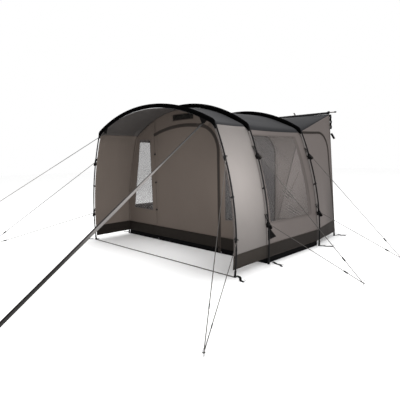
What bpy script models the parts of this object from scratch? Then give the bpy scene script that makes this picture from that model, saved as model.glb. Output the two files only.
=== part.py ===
"""Drive-away awning: three bent steel arches, a fabric porch, room and connection tunnel, guys and pegs.

Metres, +Z up. The ground is z = 0 and the origin lies under the middle of the room's groundsheet.
The open porch faces -Y and the vehicle would stand at +Y.
"""
import math

import bmesh
import bpy
import numpy as np
from mathutils import Matrix, Vector

# Layout along Y
PORCH_DEPTH = 0.680
ROOM_DEPTH = 1.285
TUNNEL_DEPTH = 0.810
Y_MID = -ROOM_DEPTH / 2
Y_REAR = ROOM_DEPTH / 2
Y_FRONT = Y_MID - PORCH_DEPTH
Y_BACK = Y_REAR + TUNNEL_DEPTH

# Tube, sleeve and fabric
POLE_RADIUS = 0.0095
LEG_STATIONS = 26
FOOT_LIFT = 0.001
SLEEVE_RADIUS = 0.0295
SLEEVE_WALL = 0.0035
SLEEVE_SIDES = 10
FABRIC = 0.005
FILM = 0.003
GAP = 0.0005
CORNER = 0.05
FLAT_SHARE = math.cos(math.pi / SLEEVE_SIDES)
SLEEVE_DROP = (SLEEVE_RADIUS - SLEEVE_WALL) * FLAT_SHARE - POLE_RADIUS - GAP
UNDER_SLEEVE = SLEEVE_DROP + SLEEVE_RADIUS * FLAT_SHARE + GAP

# Side walls hang clear of the legs, and the flat walls stand just inside them
WALL_INSET = 0.035
FLAT_WALL_CLEARANCE = {"mid": 0.0008, "rear": 0.0014}
INSET_RISE = (1.60, 1.80)

# Heights
SLEEVE_END = 1.66
EAVE = 1.73
SKIRT_BOTTOM = 0.070
SIDE_SKIRT_TOP = 0.238
FRONT_SKIRT_TOP = 0.227
FLOOR_THICKNESS = 0.004
SKIRT_ROWS = [SKIRT_BOTTOM, 0.16, SIDE_SKIRT_TOP]
CLEAR_ROW = 1.645
LEG_ROWS = [0.50, 0.75, 1.00, 1.25, 1.45, 1.61, CLEAR_ROW]
WALL_ROWS = [SIDE_SKIRT_TOP] + LEG_ROWS + [SLEEVE_END, 1.695, EAVE]
ROOF_STEPS = [0.0, 0.018, 0.036, 0.058, 0.085, 0.13, 0.20, 0.30, 0.42, 0.56, 0.70, 0.85, 1.0]

# How finely an arch's centre line is worked out
LEG_SAMPLES = 240
BEND_SAMPLES = 80
LINE_SAMPLES = 900

# Rear end of the tunnel
BACK_FOOT_HALF_WIDTH = 1.432
BACK_TOP_HALF_WIDTH = 1.285
BACK_SLEEVE_HEIGHT = 0.036
BACK_SLEEVE_BOTTOM = 2.022
BACK_SLEEVE_WALL = 0.0035
CROSS_POLE_HALF_LENGTH = 1.395
CROSS_POLE_CLEARANCE = 0.0003
BACK_SEAM_DROP = 0.0003
TUNNEL_SEAM_GAP = 0.0015
TUNNEL_SECTIONS = 7
POST_SETBACK = 0.006
POST_HEAD_SHIFT = 0.0050
POST_HEAD = BACK_SLEEVE_BOTTOM - 0.0010
POST_FOOT_LIFT = 0.0008

# Front door and windows, in the middle arch's plane
DOOR_LEFT = -0.70
DOOR_RIGHT = 0.68
DOOR_TOP_LEFT = 1.72
DOOR_TOP = 1.83
DOOR_TOP_FLAT = -0.10
DOOR_CORNER = (0.38, 0.40)
VENT = (-0.232, 0.203, 1.918, 2.000)
FRONT_WINDOW = [(0.795, 0.495), (1.290, 0.505), (1.075, 1.655), (0.813, 1.640)]

# Inner wall in the rear arch's plane
BACK_DOOR_HALF_WIDTH = 0.76
BACK_DOOR_TOP = 1.70
BACK_DOOR_CORNER = (0.28, 0.36)
BACK_DOOR_BOTTOM = 0.10

# Side windows and tunnel doors, as Y and Z
ROOM_WINDOW = [(Y_MID + 0.095, 0.518), (Y_REAR - 0.148, 0.500),
               (Y_REAR - 0.165, 1.643), (Y_MID + 0.065, 1.651)]
TUNNEL_DOOR_FRONT = Y_REAR + 0.045
TUNNEL_DOOR_BACK = Y_REAR + 0.700
TUNNEL_DOOR_TOP = 1.715
TUNNEL_DOOR_BOTTOM = SIDE_SKIRT_TOP + 0.04
TUNNEL_DOOR_FLARE = 0.088
TUNNEL_DOOR_CORNER = (0.24, 0.31)
CUT_CENTRE = 1.35
CUT_DEPTH = 0.90

# Guys: heights of the upper and lower bracket on each leg, and where the pegs stand
BRACKETS = {
    ("front", "right"): (1.360, 0.440),
    ("front", "left"): (1.295, 0.450),
    ("mid", "right"): (1.370, 0.510),
    ("mid", "left"): (1.370, 0.510),
    ("rear", "right"): (1.345, 0.505),
    ("rear", "left"): (1.345, 0.505),
}
GUY_PEG = {"front": (2.37, Y_FRONT - 1.43), "mid": (2.67, Y_MID + 0.01), "rear": (2.69, Y_REAR - 0.03)}
GUY_RADIUS = 0.004
GUY_OVERLAP = 0.004
BRACKET_HEIGHT = 0.090
BRACKET_WIDTH = 0.034
BRACKET_OUT = 0.019
BRACKET_REACH = WALL_INSET - 0.0030
POLE_CLEARANCE = 0.0009
LEG_STEP = 0.01

# Pegs: height of the eye and, for the bent head, share of the height and distance outwards
PEG_RADIUS = 0.0035
PEG_HEIGHT = 0.050
PEG_HEAD = [(0.80, 0.0), (1.00, 0.008), (1.00, 0.020), (0.75, 0.028)]
RING_HEIGHT = 0.020
RING_RADIUS = PEG_RADIUS + GUY_RADIUS + GAP

# Straps
STORM_PEG = (1.483, Y_FRONT - 2.831)
STORM_TOP = (1.045, 1.755)
GUSSET_HALF = 0.065
GUSSET_FOOT_HALF = 0.016
GUSSET_FOOT_DROP = 0.010
GUSSET_THICKNESS = 0.004
STRAP_WIDTH = 0.030
STRAP_THICKNESS = 0.003
GROUND_STRAP_WIDTH = 0.025


class Arch:
    """Centre line of one bent pole: a bowed leg, a round corner and a circular roof arc."""

    def __init__(self, y, foot, shoulder, shoulder_height, apex, bow):
        self.y = y
        leg_t = np.linspace(0, 1, LEG_SAMPLES)
        leg = np.stack([foot + (shoulder - foot) * leg_t + 4 * bow * leg_t * (1 - leg_t),
                        shoulder_height * leg_t], 1)
        rise = apex - shoulder_height
        radius = (shoulder ** 2 + rise ** 2) / (2 * rise)
        angle = np.linspace(math.asin(shoulder / radius), 0, LEG_SAMPLES)
        roof = np.stack([radius * np.sin(angle), apex - radius + radius * np.cos(angle)], 1)
        shoulder_point = leg[-1]
        leg = leg[np.linalg.norm(leg - shoulder_point, axis=1) > CORNER]
        roof = roof[np.linalg.norm(roof - shoulder_point, axis=1) > CORNER]
        bend_t = np.linspace(0, 1, BEND_SAMPLES)[1:-1, None]
        bend = ((1 - bend_t) ** 2 * leg[-1] + 2 * bend_t * (1 - bend_t) * shoulder_point
                + bend_t ** 2 * roof[0])
        line = np.concatenate([leg, bend, roof])
        run = np.concatenate([[0], np.cumsum(np.linalg.norm(np.diff(line, axis=0), axis=1))])
        self.length = run[-1]
        self.run = np.linspace(0, self.length, LINE_SAMPLES)
        self.line = np.stack([np.interp(self.run, run, line[:, k]) for k in (0, 1)], 1)
        tangent = np.gradient(self.line, axis=0)
        tangent[-1] = (-1, 0)
        tangent /= np.linalg.norm(tangent, axis=1)[:, None]
        self.outward = np.stack([tangent[:, 1], -tangent[:, 0]], 1)

    def at_height(self, z):
        """Distance along the line from the foot where it reaches height z."""
        return np.interp(z, self.line[:, 1], self.run)

    def points(self, runs, inset):
        """X and Z at the given distances, moved inwards by inset, a number or an array."""
        runs = np.asarray(runs, float)
        place = np.stack([np.interp(runs, self.run, self.line[:, k]) for k in (0, 1)], 1)
        normal = np.stack([np.interp(runs, self.run, self.outward[:, k]) for k in (0, 1)], 1)
        normal /= np.linalg.norm(normal, axis=1)[:, None]
        return place - normal * np.broadcast_to(inset, runs.shape)[:, None]

    def wall_runs(self, rows):
        return self.at_height(np.array(rows))

    def roof_runs(self):
        """Distances from the eave up to the apex."""
        start = self.at_height(EAVE)
        return start + (self.length - start) * np.array(ROOF_STEPS)

    def sleeve_runs(self):
        lower = self.wall_runs([row for row in WALL_ROWS if SLEEVE_END <= row < EAVE])
        return np.concatenate([lower, self.roof_runs()])


ARCHES = {
    "front": Arch(Y_FRONT, 1.500, 1.220, 1.773, 2.063, 0.127),
    "mid": Arch(Y_MID, 1.500, 1.192, 1.753, 2.121, 0.106),
    "rear": Arch(Y_REAR, 1.545, 1.211, 1.745, 2.104, 0.104),
}
SIDES = {"right": 1, "left": -1}
UP = Vector((0, 0, 1))


def clear_scene():
    for item in list(bpy.data.objects):
        bpy.data.objects.remove(item, do_unlink=True)
    for group in list(bpy.data.collections):
        bpy.data.collections.remove(group)


def make_material(name, color, roughness, metallic=0.0, alpha=1.0):
    material = bpy.data.materials.new(name)
    material.use_nodes = True
    shader = material.node_tree.nodes["Principled BSDF"]
    shader.inputs["Base Color"].default_value = (*color, 1.0)
    shader.inputs["Roughness"].default_value = roughness
    shader.inputs["Metallic"].default_value = metallic
    shader.inputs["Alpha"].default_value = alpha
    material.diffuse_color = (*color, alpha)
    return material


def mesh_object(name, vertices, faces, group):
    """New object from vertices and faces, with its faces turned outwards."""
    mesh = bpy.data.meshes.new(name)
    mesh.from_pydata([tuple(v) for v in vertices], [], faces)
    work = bmesh.new()
    work.from_mesh(mesh)
    bmesh.ops.remove_doubles(work, verts=work.verts, dist=1e-6)
    bmesh.ops.recalc_face_normals(work, faces=work.faces)
    work.to_mesh(mesh)
    work.free()
    item = bpy.data.objects.new(name, mesh)
    group.objects.link(item)
    return item


def finish(item, material):
    item.data.materials.clear()
    item.data.materials.append(material)
    return item


def place(xz, y):
    """X, Z pairs at the depths y as 3D points."""
    xz = np.asarray(xz)
    return np.stack([xz[:, 0], np.broadcast_to(y, len(xz)), xz[:, 1]], 1)


def strip(line, mate):
    """Quads between two lines of vertex numbers."""
    return np.stack([line[:-1], line[1:], mate[1:], mate[:-1]], -1).reshape(-1, 4).tolist()


def loft(name, outer, inner, group):
    """Closed shell between two grids of sections, each (sections, points, 3)."""
    sections, count, _ = outer.shape
    vertices = np.concatenate([outer.reshape(-1, 3), inner.reshape(-1, 3)])
    front = np.arange(sections * count).reshape(sections, count)
    back = front + sections * count
    faces = []
    for skin in (front, back):
        for k in range(sections - 1):
            faces += strip(skin[k], skin[k + 1])
    for k in (0, -1):
        faces += strip(front[k], back[k])
        faces += strip(front[:, k], back[:, k])
    return mesh_object(name, vertices, faces, group)


def tube(name, points, radius, group, material, resolution=2):
    """Round bar along the points, with filled ends."""
    curve = bpy.data.curves.new(name, "CURVE")
    curve.dimensions = "3D"
    curve.bevel_depth = radius
    curve.bevel_resolution = resolution
    curve.use_fill_caps = True
    spline = curve.splines.new("POLY")
    spline.points.add(len(points) - 1)
    for knot, point in zip(spline.points, points):
        knot.co = (*point, 1.0)
    item = bpy.data.objects.new(name, curve)
    group.objects.link(item)
    curve.materials.append(material)
    return item


def as_mesh(item, group):
    """Mesh that takes a curve object's place and name, welded shut."""
    bpy.context.view_layer.update()
    source = item.evaluated_get(bpy.context.evaluated_depsgraph_get())
    mesh = bpy.data.meshes.new_from_object(source)
    work = bmesh.new()
    work.from_mesh(mesh)
    bmesh.ops.remove_doubles(work, verts=work.verts, dist=1e-6)
    bmesh.ops.recalc_face_normals(work, faces=work.faces)
    work.to_mesh(mesh)
    work.free()
    name = item.name
    matrix = item.matrix_world.copy()
    bpy.data.objects.remove(item, do_unlink=True)
    result = bpy.data.objects.new(name, mesh)
    result.matrix_world = matrix
    group.objects.link(result)
    return result


# How an outline's two directions and its thickness lie in space
PLANES = {
    "XY": Matrix.Identity(4),
    "XZ": Matrix.Rotation(math.pi / 2, 4, "X"),
    "YZ": Matrix(((0, 0, 1, 0), (1, 0, 0, 0), (0, 1, 0, 0), (0, 0, 0, 1))),
}


def flat_solid(name, outline, holes, plane, centre, thickness, group, material):
    """Flat outline with holes, thickened to both sides of its plane through the centre."""
    curve = bpy.data.curves.new(name, "CURVE")
    curve.dimensions = "2D"
    curve.fill_mode = "BOTH"
    curve.extrude = thickness / 2
    for loop in [outline] + holes:
        spline = curve.splines.new("POLY")
        spline.points.add(len(loop) - 1)
        spline.use_cyclic_u = True
        for knot, (u, v) in zip(spline.points, loop):
            knot.co = (u, v, 0.0, 1.0)
    item = bpy.data.objects.new(name, curve)
    item.matrix_world = Matrix.Translation(centre) @ PLANES[plane]
    group.objects.link(item)
    curve.materials.append(material)
    return item


def wall_panel(name, outline, holes, y, thickness, group, material):
    """Flat sheet that stands in an arch's plane."""
    return flat_solid(name, outline, holes, "XZ", (0.0, y, 0.0), thickness, group, material)


def side_cutter(name, outline, sign, group, material):
    """Block that passes through one side wall, from an outline in Y and Z."""
    centre = (sign * CUT_CENTRE, 0.0, 0.0)
    return as_mesh(flat_solid(name, outline, [], "YZ", centre, CUT_DEPTH, group, material), group)


def boolean(item, cutter, operation):
    """Adds an exact Boolean modifier and hides the cutter."""
    modifier = item.modifiers.new(operation.lower(), "BOOLEAN")
    modifier.operation = operation
    modifier.object = cutter
    modifier.solver = "EXACT"
    cutter.hide_render = True
    cutter.display_type = "WIRE"
    return item


def grow(outline, distance):
    """Outline with each side moved outwards by the distance; the outline is convex."""
    points = np.array(outline, float)
    edge = np.roll(points, -1, axis=0) - points
    area = (points[:, 0] * np.roll(points[:, 1], -1) - np.roll(points[:, 0], -1) * points[:, 1]).sum()
    turn = 1.0 if area > 0 else -1.0
    normal = np.stack([edge[:, 1], -edge[:, 0]], 1) * turn
    normal /= np.linalg.norm(normal, axis=1)[:, None]
    before = np.roll(normal, 1, axis=0)
    miter = normal + before
    miter /= (miter * normal).sum(1)[:, None]
    return (points + miter * distance).tolist()


def fabric_inset(arch, runs):
    """Inset of the fabric's outer face: by the leg, then rising to the middle of the sleeve."""
    low, high = (arch.at_height(z) for z in INSET_RISE)
    step = np.clip((np.asarray(runs) - low) / (high - low), 0, 1)
    step = step * step * (3 - 2 * step)
    return WALL_INSET + (SLEEVE_DROP - FABRIC / 2 - WALL_INSET) * step


def end_margin(rows):
    """How far a panel stops short of an arch's plane: clear of the sleeve, and close together below it."""
    return np.where(np.asarray(rows) >= CLEAR_ROW, SLEEVE_RADIUS + GAP, GAP / 2)


def wall_sections(near, far, rows, thickness=FABRIC, shift=0.0):
    """Outer and inner grids of a side wall between two arches."""
    grids = []
    for extra in (0.0, thickness):
        ends = []
        for arch in (near, far):
            runs = arch.wall_runs(rows)
            ends.append(arch.points(runs, fabric_inset(arch, runs) + shift + extra))
        margin = end_margin(rows)
        sections = []
        for k in (0.0, 0.5, 1.0):
            first = near.y + margin
            last = far.y - margin
            y = first + (last - first) * k
            part = ((y - near.y) / (far.y - near.y))[:, None]
            xz = ends[0] * (1 - part) + ends[1] * part
            sections.append(place(xz, y))
        grids.append(np.array(sections))
    return grids


def roof_sections(near, far):
    """Outer and inner grids of a roof panel between two arches, from eave to eave."""
    grids = []
    for extra in (0.0, FABRIC):
        sections = []
        for k in (0.0, 0.5, 1.0):
            first = near.y + SLEEVE_RADIUS + GAP
            last = far.y - SLEEVE_RADIUS - GAP
            y = first + (last - first) * k
            part = (y - near.y) / (far.y - near.y)
            halves = []
            for arch in (near, far):
                runs = arch.roof_runs()
                runs[0] += GAP
                halves.append(arch.points(runs, fabric_inset(arch, runs) + extra))
            half = halves[0] * (1 - part) + halves[1] * part
            whole = np.concatenate([half, (half * (-1, 1))[-2::-1]])
            sections.append(place(whole, y))
        grids.append(np.array(sections))
    return grids


def back_wall_line(rows):
    """X and Z of the tunnel's rear edge for the given rows of the rear arch's wall."""
    rows = np.asarray(rows)
    share = (rows - SKIRT_BOTTOM) / (EAVE - SKIRT_BOTTOM)
    top = BACK_SLEEVE_BOTTOM - BACK_SEAM_DROP
    z = SKIRT_BOTTOM + (top - SKIRT_BOTTOM) * share
    x = BACK_FOOT_HALF_WIDTH + (BACK_TOP_HALF_WIDTH - BACK_FOOT_HALF_WIDTH) * z / top
    return np.stack([x, z], 1)


def tunnel_wall_sections(rows, thickness=FABRIC, shift=0.0):
    """Grids of a tunnel side wall, from the rear arch's curved leg to the straight rear edge."""
    arch = ARCHES["rear"]
    runs = arch.wall_runs(rows)
    margin = end_margin(rows)
    grids = []
    for extra in (0.0, thickness):
        near = arch.points(runs, fabric_inset(arch, runs) + shift + extra)
        far = back_wall_line(rows) - (shift + extra, 0)
        sections = []
        for k in np.linspace(0, 1, TUNNEL_SECTIONS):
            y = arch.y + margin + (Y_BACK - arch.y - margin) * k
            part = ((y - arch.y) / (Y_BACK - arch.y))[:, None]
            sections.append(place(near * (1 - part) + far * part, y))
        grids.append(np.array(sections))
    return grids


def tunnel_roof_sections():
    """Grids of the tunnel roof, from the rear arch's curve to the straight rear edge."""
    arch = ARCHES["rear"]
    runs = arch.roof_runs()
    runs[0] += TUNNEL_SEAM_GAP
    lift = BACK_SLEEVE_BOTTOM - BACK_SEAM_DROP + TUNNEL_SEAM_GAP
    grids = []
    for extra in (0.0, FABRIC):
        near = arch.points(runs, fabric_inset(arch, runs) + extra)
        share = (near[:, 0] / near[0, 0])[:, None]
        far = np.stack([BACK_TOP_HALF_WIDTH * share[:, 0], np.full(len(share), lift + FABRIC - extra)], 1)
        sections = []
        last = Y_BACK - BACK_SLEEVE_HEIGHT / 2 - GAP
        for k in np.linspace(0, 1, TUNNEL_SECTIONS):
            first = arch.y + SLEEVE_RADIUS + GAP
            y = first + (last - first) * k
            part = (y - arch.y) / (Y_BACK - arch.y)
            half = near * (1 - part) + far * part
            whole = np.concatenate([half, (half * (-1, 1))[-2::-1]])
            sections.append(place(whole, y))
        grids.append(np.array(sections))
    return grids


def mirrored(grids, sign):
    return [grid * (sign, 1, 1) for grid in grids]


def corner_arc(centre, radii, start, end, count=7):
    """Points on a quarter of an ellipse, angles in degrees."""
    angle = np.radians(np.linspace(start, end, count))
    points = np.stack([centre[0] + radii[0] * np.cos(angle), centre[1] + radii[1] * np.sin(angle)], 1)
    return [tuple(point) for point in points.tolist()]


def front_door_outline(bottom):
    arc_centre = (DOOR_RIGHT - DOOR_CORNER[0], DOOR_TOP - DOOR_CORNER[1])
    return ([(DOOR_LEFT, bottom), (DOOR_RIGHT, bottom)] + corner_arc(arc_centre, DOOR_CORNER, 0, 90)
            + [(DOOR_TOP_FLAT, DOOR_TOP), (DOOR_LEFT, DOOR_TOP_LEFT)])


def back_door_outline(bottom):
    w, h = BACK_DOOR_CORNER
    side = BACK_DOOR_HALF_WIDTH
    right = corner_arc((side - w, BACK_DOOR_TOP - h), BACK_DOOR_CORNER, 0, 90)
    left = corner_arc((w - side, BACK_DOOR_TOP - h), BACK_DOOR_CORNER, 90, 180)
    return [(-side, bottom), (side, bottom)] + right + left


def tunnel_door_outline():
    """Y and Z of the tunnel's side door."""
    w, h = TUNNEL_DOOR_CORNER
    arc = corner_arc((TUNNEL_DOOR_BACK - w, TUNNEL_DOOR_TOP - h), TUNNEL_DOOR_CORNER, 0, 90)
    foot = TUNNEL_DOOR_BACK + TUNNEL_DOOR_FLARE
    return ([(TUNNEL_DOOR_FRONT, TUNNEL_DOOR_BOTTOM), (foot, TUNNEL_DOOR_BOTTOM)] + arc
            + [(TUNNEL_DOOR_FRONT, TUNNEL_DOOR_TOP)])


def inner_outline(label, bottom, top=None):
    """Right half of the outline of a flat wall inside an arch, from the bottom up.

    It lies just inside the side walls, and higher up just under the sleeve.
    """
    arch = ARCHES[label]
    inset = WALL_INSET + FABRIC + FLAT_WALL_CLEARANCE[label]
    half = np.concatenate([arch.points(arch.wall_runs(SKIRT_ROWS + LEG_ROWS), inset),
                           arch.points(arch.sleeve_runs(), UNDER_SLEEVE)])
    if top is not None:
        level = [bottom] + [z for z in half[:, 1] if bottom < z < top] + [top]
    else:
        level = [bottom] + [z for z in half[:, 1] if z > bottom + 1e-4]
    return [(float(np.interp(z, half[:, 1], half[:, 0])), float(z)) for z in level]


def add_poles(group, steel):
    for label, arch in ARCHES.items():
        rows = np.linspace(0.0, SLEEVE_END, LEG_STATIONS)[:-1]
        runs = np.concatenate([arch.wall_runs(rows), arch.sleeve_runs()])
        half = arch.points(runs, 0.0)
        half[0, 1] = FOOT_LIFT
        whole = np.concatenate([half, (half * (-1, 1))[-2::-1]])
        tube(f"pole_{label}", place(whole, arch.y), POLE_RADIUS, group, steel)


def add_sleeves(group, cloth):
    """Hollow sleeves: a ring carried along each arch, hanging on the top of the pole."""
    angle = np.linspace(0, 2 * math.pi, SLEEVE_SIDES, endpoint=False)
    for label, arch in ARCHES.items():
        runs = arch.sleeve_runs()
        rings = []
        for radius in (SLEEVE_RADIUS, SLEEVE_RADIUS - SLEEVE_WALL):
            columns = []
            for a in angle:
                half = arch.points(runs, SLEEVE_DROP + radius * math.sin(a))
                whole = np.concatenate([half, (half * (-1, 1))[-2::-1]])
                columns.append(place(whole, arch.y + radius * math.cos(a)))
            rings.append(np.array(columns).transpose(1, 0, 2))
        finish(ring_loft(f"sleeve_{label}", rings[0], rings[1], group), cloth)


def ring_loft(name, outer, inner, group):
    """Closed hollow tube between two stacks of rings, each (stations, sides, 3)."""
    stations, sides, _ = outer.shape
    vertices = np.concatenate([outer.reshape(-1, 3), inner.reshape(-1, 3)])
    index = np.arange(stations * sides).reshape(stations, sides)
    faces = []
    for skin in (index, index + stations * sides):
        closed = np.concatenate([skin, skin[:, :1]], axis=1)
        for k in range(stations - 1):
            faces += strip(closed[k], closed[k + 1])
    for end in (index[0], index[-1]):
        loop = np.append(end, end[0])
        faces += strip(loop, loop + stations * sides)
    return mesh_object(name, vertices, faces, group)


def add_back_frame(group, steel, cloth):
    """Cross pole in its sleeve at the tunnel's rear edge, on two uprights."""
    half = BACK_SLEEVE_HEIGHT / 2
    rings = []
    for reach in (half, half - BACK_SLEEVE_WALL):
        corners = [(-reach, -reach), (reach, -reach), (reach, reach), (-reach, reach)]
        rings.append(np.array([[(x, Y_BACK + v, BACK_SLEEVE_BOTTOM + half + w) for v, w in corners]
                               for x in (-BACK_TOP_HALF_WIDTH, BACK_TOP_HALF_WIDTH)]))
    finish(ring_loft("sleeve_back", rings[0], rings[1], group), cloth)
    z = BACK_SLEEVE_BOTTOM + BACK_SLEEVE_HEIGHT - BACK_SLEEVE_WALL - POLE_RADIUS - CROSS_POLE_CLEARANCE
    tube("cross_pole", [(-CROSS_POLE_HALF_LENGTH, Y_BACK, z), (CROSS_POLE_HALF_LENGTH, Y_BACK, z)],
         POLE_RADIUS, group, steel)
    inset = FABRIC + GAP + POLE_RADIUS
    y = Y_BACK - POST_SETBACK
    for side, sign in SIDES.items():
        foot = (sign * (BACK_FOOT_HALF_WIDTH - inset), y, POST_FOOT_LIFT)
        head = (sign * (BACK_TOP_HALF_WIDTH - inset - POST_HEAD_SHIFT), y, POST_HEAD)
        tube(f"post_{side}", [foot, head], POLE_RADIUS, group, steel)


def add_roofs(group, cloth):
    finish(loft("roof_porch", *roof_sections(ARCHES["front"], ARCHES["mid"]), group), cloth)
    finish(loft("roof_room", *roof_sections(ARCHES["mid"], ARCHES["rear"]), group), cloth)
    finish(loft("roof_tunnel", *tunnel_roof_sections(), group), cloth)


def add_side_walls(group, cutters, cloth, film):
    """Porch, room and tunnel walls, with the room window and the tunnel door set into their holes."""
    rows = list(WALL_ROWS)
    rows[0] += GAP
    mid_skin = dict(thickness=FILM, shift=(FABRIC - FILM) / 2)
    for side, sign in SIDES.items():
        grids = mirrored(wall_sections(ARCHES["front"], ARCHES["mid"], rows), sign)
        finish(loft(f"porch_wall_{side}", *grids, group), cloth)
        grids = mirrored(wall_sections(ARCHES["mid"], ARCHES["rear"], rows), sign)
        wall = finish(loft(f"room_wall_{side}", *grids, group), cloth)
        hole = side_cutter(f"room_hole_{side}", grow(ROOM_WINDOW, GAP), sign, cutters, cloth)
        boolean(wall, hole, "DIFFERENCE")
        grids = mirrored(wall_sections(ARCHES["mid"], ARCHES["rear"], rows, **mid_skin), sign)
        pane = finish(loft(f"room_window_{side}", *grids, group), film)
        boolean(pane, side_cutter(f"room_pane_{side}", ROOM_WINDOW, sign, cutters, film), "INTERSECT")
        grids = mirrored(tunnel_wall_sections(rows), sign)
        wall = finish(loft(f"tunnel_wall_{side}", *grids, group), cloth)
        outline = tunnel_door_outline()
        hole = side_cutter(f"tunnel_hole_{side}", grow(outline, GAP), sign, cutters, cloth)
        boolean(wall, hole, "DIFFERENCE")
        door = finish(loft(f"tunnel_door_{side}", *grids, group), cloth)
        boolean(door, side_cutter(f"tunnel_leaf_{side}", outline, sign, cutters, cloth), "INTERSECT")


def add_front_wall(group, cloth, dark, film, mesh):
    """Flat wall in the middle arch's plane with door, windows and vent, over its two skirts."""
    arch = ARCHES["mid"]
    half = inner_outline("mid", FRONT_SKIRT_TOP + GAP)
    door = front_door_outline(SKIRT_BOTTOM + GAP)
    jambs = {"right": DOOR_RIGHT + GAP, "left": DOOR_LEFT - GAP}
    head = grow(door, GAP)[2:]
    foot = FRONT_SKIRT_TOP + GAP
    outline = half + [(-x, z) for x, z in half[-2::-1]]
    outline += [(jambs["left"], foot)] + head[::-1] + [(jambs["right"], foot)]
    windows = {side: [(sign * x, z) for x, z in FRONT_WINDOW] for side, sign in SIDES.items()}
    left, right, low, high = VENT
    vent = [(left, low), (right, low), (right, high), (left, high)]
    holes = [grow(loop, GAP) for loop in windows.values()] + [grow(vent, GAP)]
    wall_panel("front_wall", outline, holes, arch.y, FABRIC, group, cloth)
    wall_panel("front_door", door, [], arch.y, FABRIC, group, cloth)
    for side, loop in windows.items():
        wall_panel(f"front_window_{side}", loop, [], arch.y, FILM, group, film)
    wall_panel("front_vent", vent, [], arch.y, FILM, group, mesh)
    skirt = inner_outline("mid", SKIRT_BOTTOM + GAP, FRONT_SKIRT_TOP)
    for side, sign in SIDES.items():
        loop = [(sign * x, z) for x, z in skirt]
        loop += [(jambs[side], FRONT_SKIRT_TOP), (jambs[side], SKIRT_BOTTOM + GAP)]
        wall_panel(f"mudwall_front_{side}", loop, [], arch.y, FABRIC, group, dark)


def add_back_wall(group, cloth, mesh):
    """Flat inner wall in the rear arch's plane with its mesh door."""
    arch = ARCHES["rear"]
    half = inner_outline("rear", SKIRT_BOTTOM + GAP)
    outline = half + [(-x, z) for x, z in half[-2::-1]]
    leaf = back_door_outline(BACK_DOOR_BOTTOM)
    wall_panel("back_wall", outline, [grow(leaf, GAP)], arch.y, FABRIC, group, cloth)
    wall_panel("back_door", leaf, [], arch.y, FILM, group, mesh)


def add_side_skirts(group, dark):
    """One long mudwall a side, passing inside all three legs to the rear edge."""
    for side, sign in SIDES.items():
        grids = []
        for extra in (0.0, FABRIC):
            sections = []
            rows = [SKIRT_BOTTOM + GAP] + SKIRT_ROWS[1:]
            for arch in ARCHES.values():
                runs = arch.wall_runs(rows)
                sections.append(place(arch.points(runs, WALL_INSET + extra), arch.y))
            sections.append(place(back_wall_line(rows) - (extra, 0), Y_BACK))
            grids.append(np.array(sections))
        finish(loft(f"mudwall_{side}", *mirrored(grids, sign), group), dark)


def add_groundsheet(group, cutters, dark):
    """Room floor: a thin tray whose raised edge the walls stand on."""
    half_mid, half_rear = (ARCHES[label].points(ARCHES[label].wall_runs([SKIRT_BOTTOM]), WALL_INSET)[0][0]
                           for label in ("mid", "rear"))
    near = Y_MID - FABRIC / 2
    far = Y_REAR + FABRIC / 2
    outline = [(half_mid, near), (half_rear, far), (-half_rear, far), (-half_mid, near)]
    middle = (0.0, 0.0, SKIRT_BOTTOM / 2)
    tray = flat_solid("groundsheet", outline, [], "XY", middle, SKIRT_BOTTOM, group, dark)
    rim = (0.0, 0.0, SKIRT_BOTTOM)
    depth = 2 * (SKIRT_BOTTOM - FLOOR_THICKNESS)
    hollow = flat_solid("hollow", grow(outline, -FABRIC), [], "XY", rim, depth, cutters, dark)
    boolean(as_mesh(tray, group), as_mesh(hollow, cutters), "DIFFERENCE")


def add_ground_strap(group, webbing):
    reach = ARCHES["front"].line[0][0] - POLE_RADIUS - GAP
    half = GROUND_STRAP_WIDTH / 2
    outline = [(-reach, -half), (reach, -half), (reach, half), (-reach, half)]
    middle = (0.0, Y_FRONT, STRAP_THICKNESS / 2)
    flat_solid("ground_strap", outline, [], "XY", middle, STRAP_THICKNESS, group, webbing)


def oriented_box(name, centre, axes, size, group):
    """Box whose first two directions are given; the third is square to them."""
    work = bmesh.new()
    first, second = axes
    basis = Matrix((first, second, first.cross(second))).transposed().to_4x4()
    scale = Matrix.Diagonal((*size, 1.0))
    bmesh.ops.create_cube(work, size=1.0, matrix=Matrix.Translation(centre) @ basis @ scale)
    bmesh.ops.recalc_face_normals(work, faces=work.faces)
    mesh = bpy.data.meshes.new(name)
    work.to_mesh(mesh)
    work.free()
    item = bpy.data.objects.new(name, mesh)
    group.objects.link(item)
    return item


def ring(name, centre, group):
    """Small level eye round a peg: a torus of few sides."""
    bpy.ops.mesh.primitive_torus_add(major_segments=10, minor_segments=6, major_radius=RING_RADIUS,
                                     minor_radius=GUY_RADIUS, location=centre)
    item = bpy.context.object
    item.name = name
    for holder in list(item.users_collection):
        holder.objects.unlink(item)
    group.objects.link(item)
    return item


def towards(eye, point):
    """Place on the eye's rim that faces a point."""
    away = point - eye
    return eye + Vector((away.x, away.y, 0)).normalized() * RING_RADIUS


def bracket(name, arch, sign, height, cutters):
    """Webbing bracket on a leg: a block round the pole whose inner end reaches the fabric.

    Gives the block, both ends of the pole's hole in it, and the middle of its outer face.
    """
    run = arch.at_height(height)
    pole, ahead, middle, outer = (
        Vector((sign * x, arch.y, z)) for x, z in (
            arch.points([run], 0.0)[0], arch.points([run + LEG_STEP], 0.0)[0],
            arch.points([run], (BRACKET_REACH - BRACKET_OUT) / 2)[0], arch.points([run], -BRACKET_OUT)[0]))
    along = (ahead - pole).normalized()
    out = (outer - pole).normalized()
    size = (BRACKET_REACH + BRACKET_OUT, BRACKET_WIDTH, BRACKET_HEIGHT)
    block = oriented_box(name, middle, (out, Vector((0, 1, 0))), size, cutters)
    return block, [pole - along * BRACKET_HEIGHT, pole + along * BRACKET_HEIGHT], outer


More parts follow.
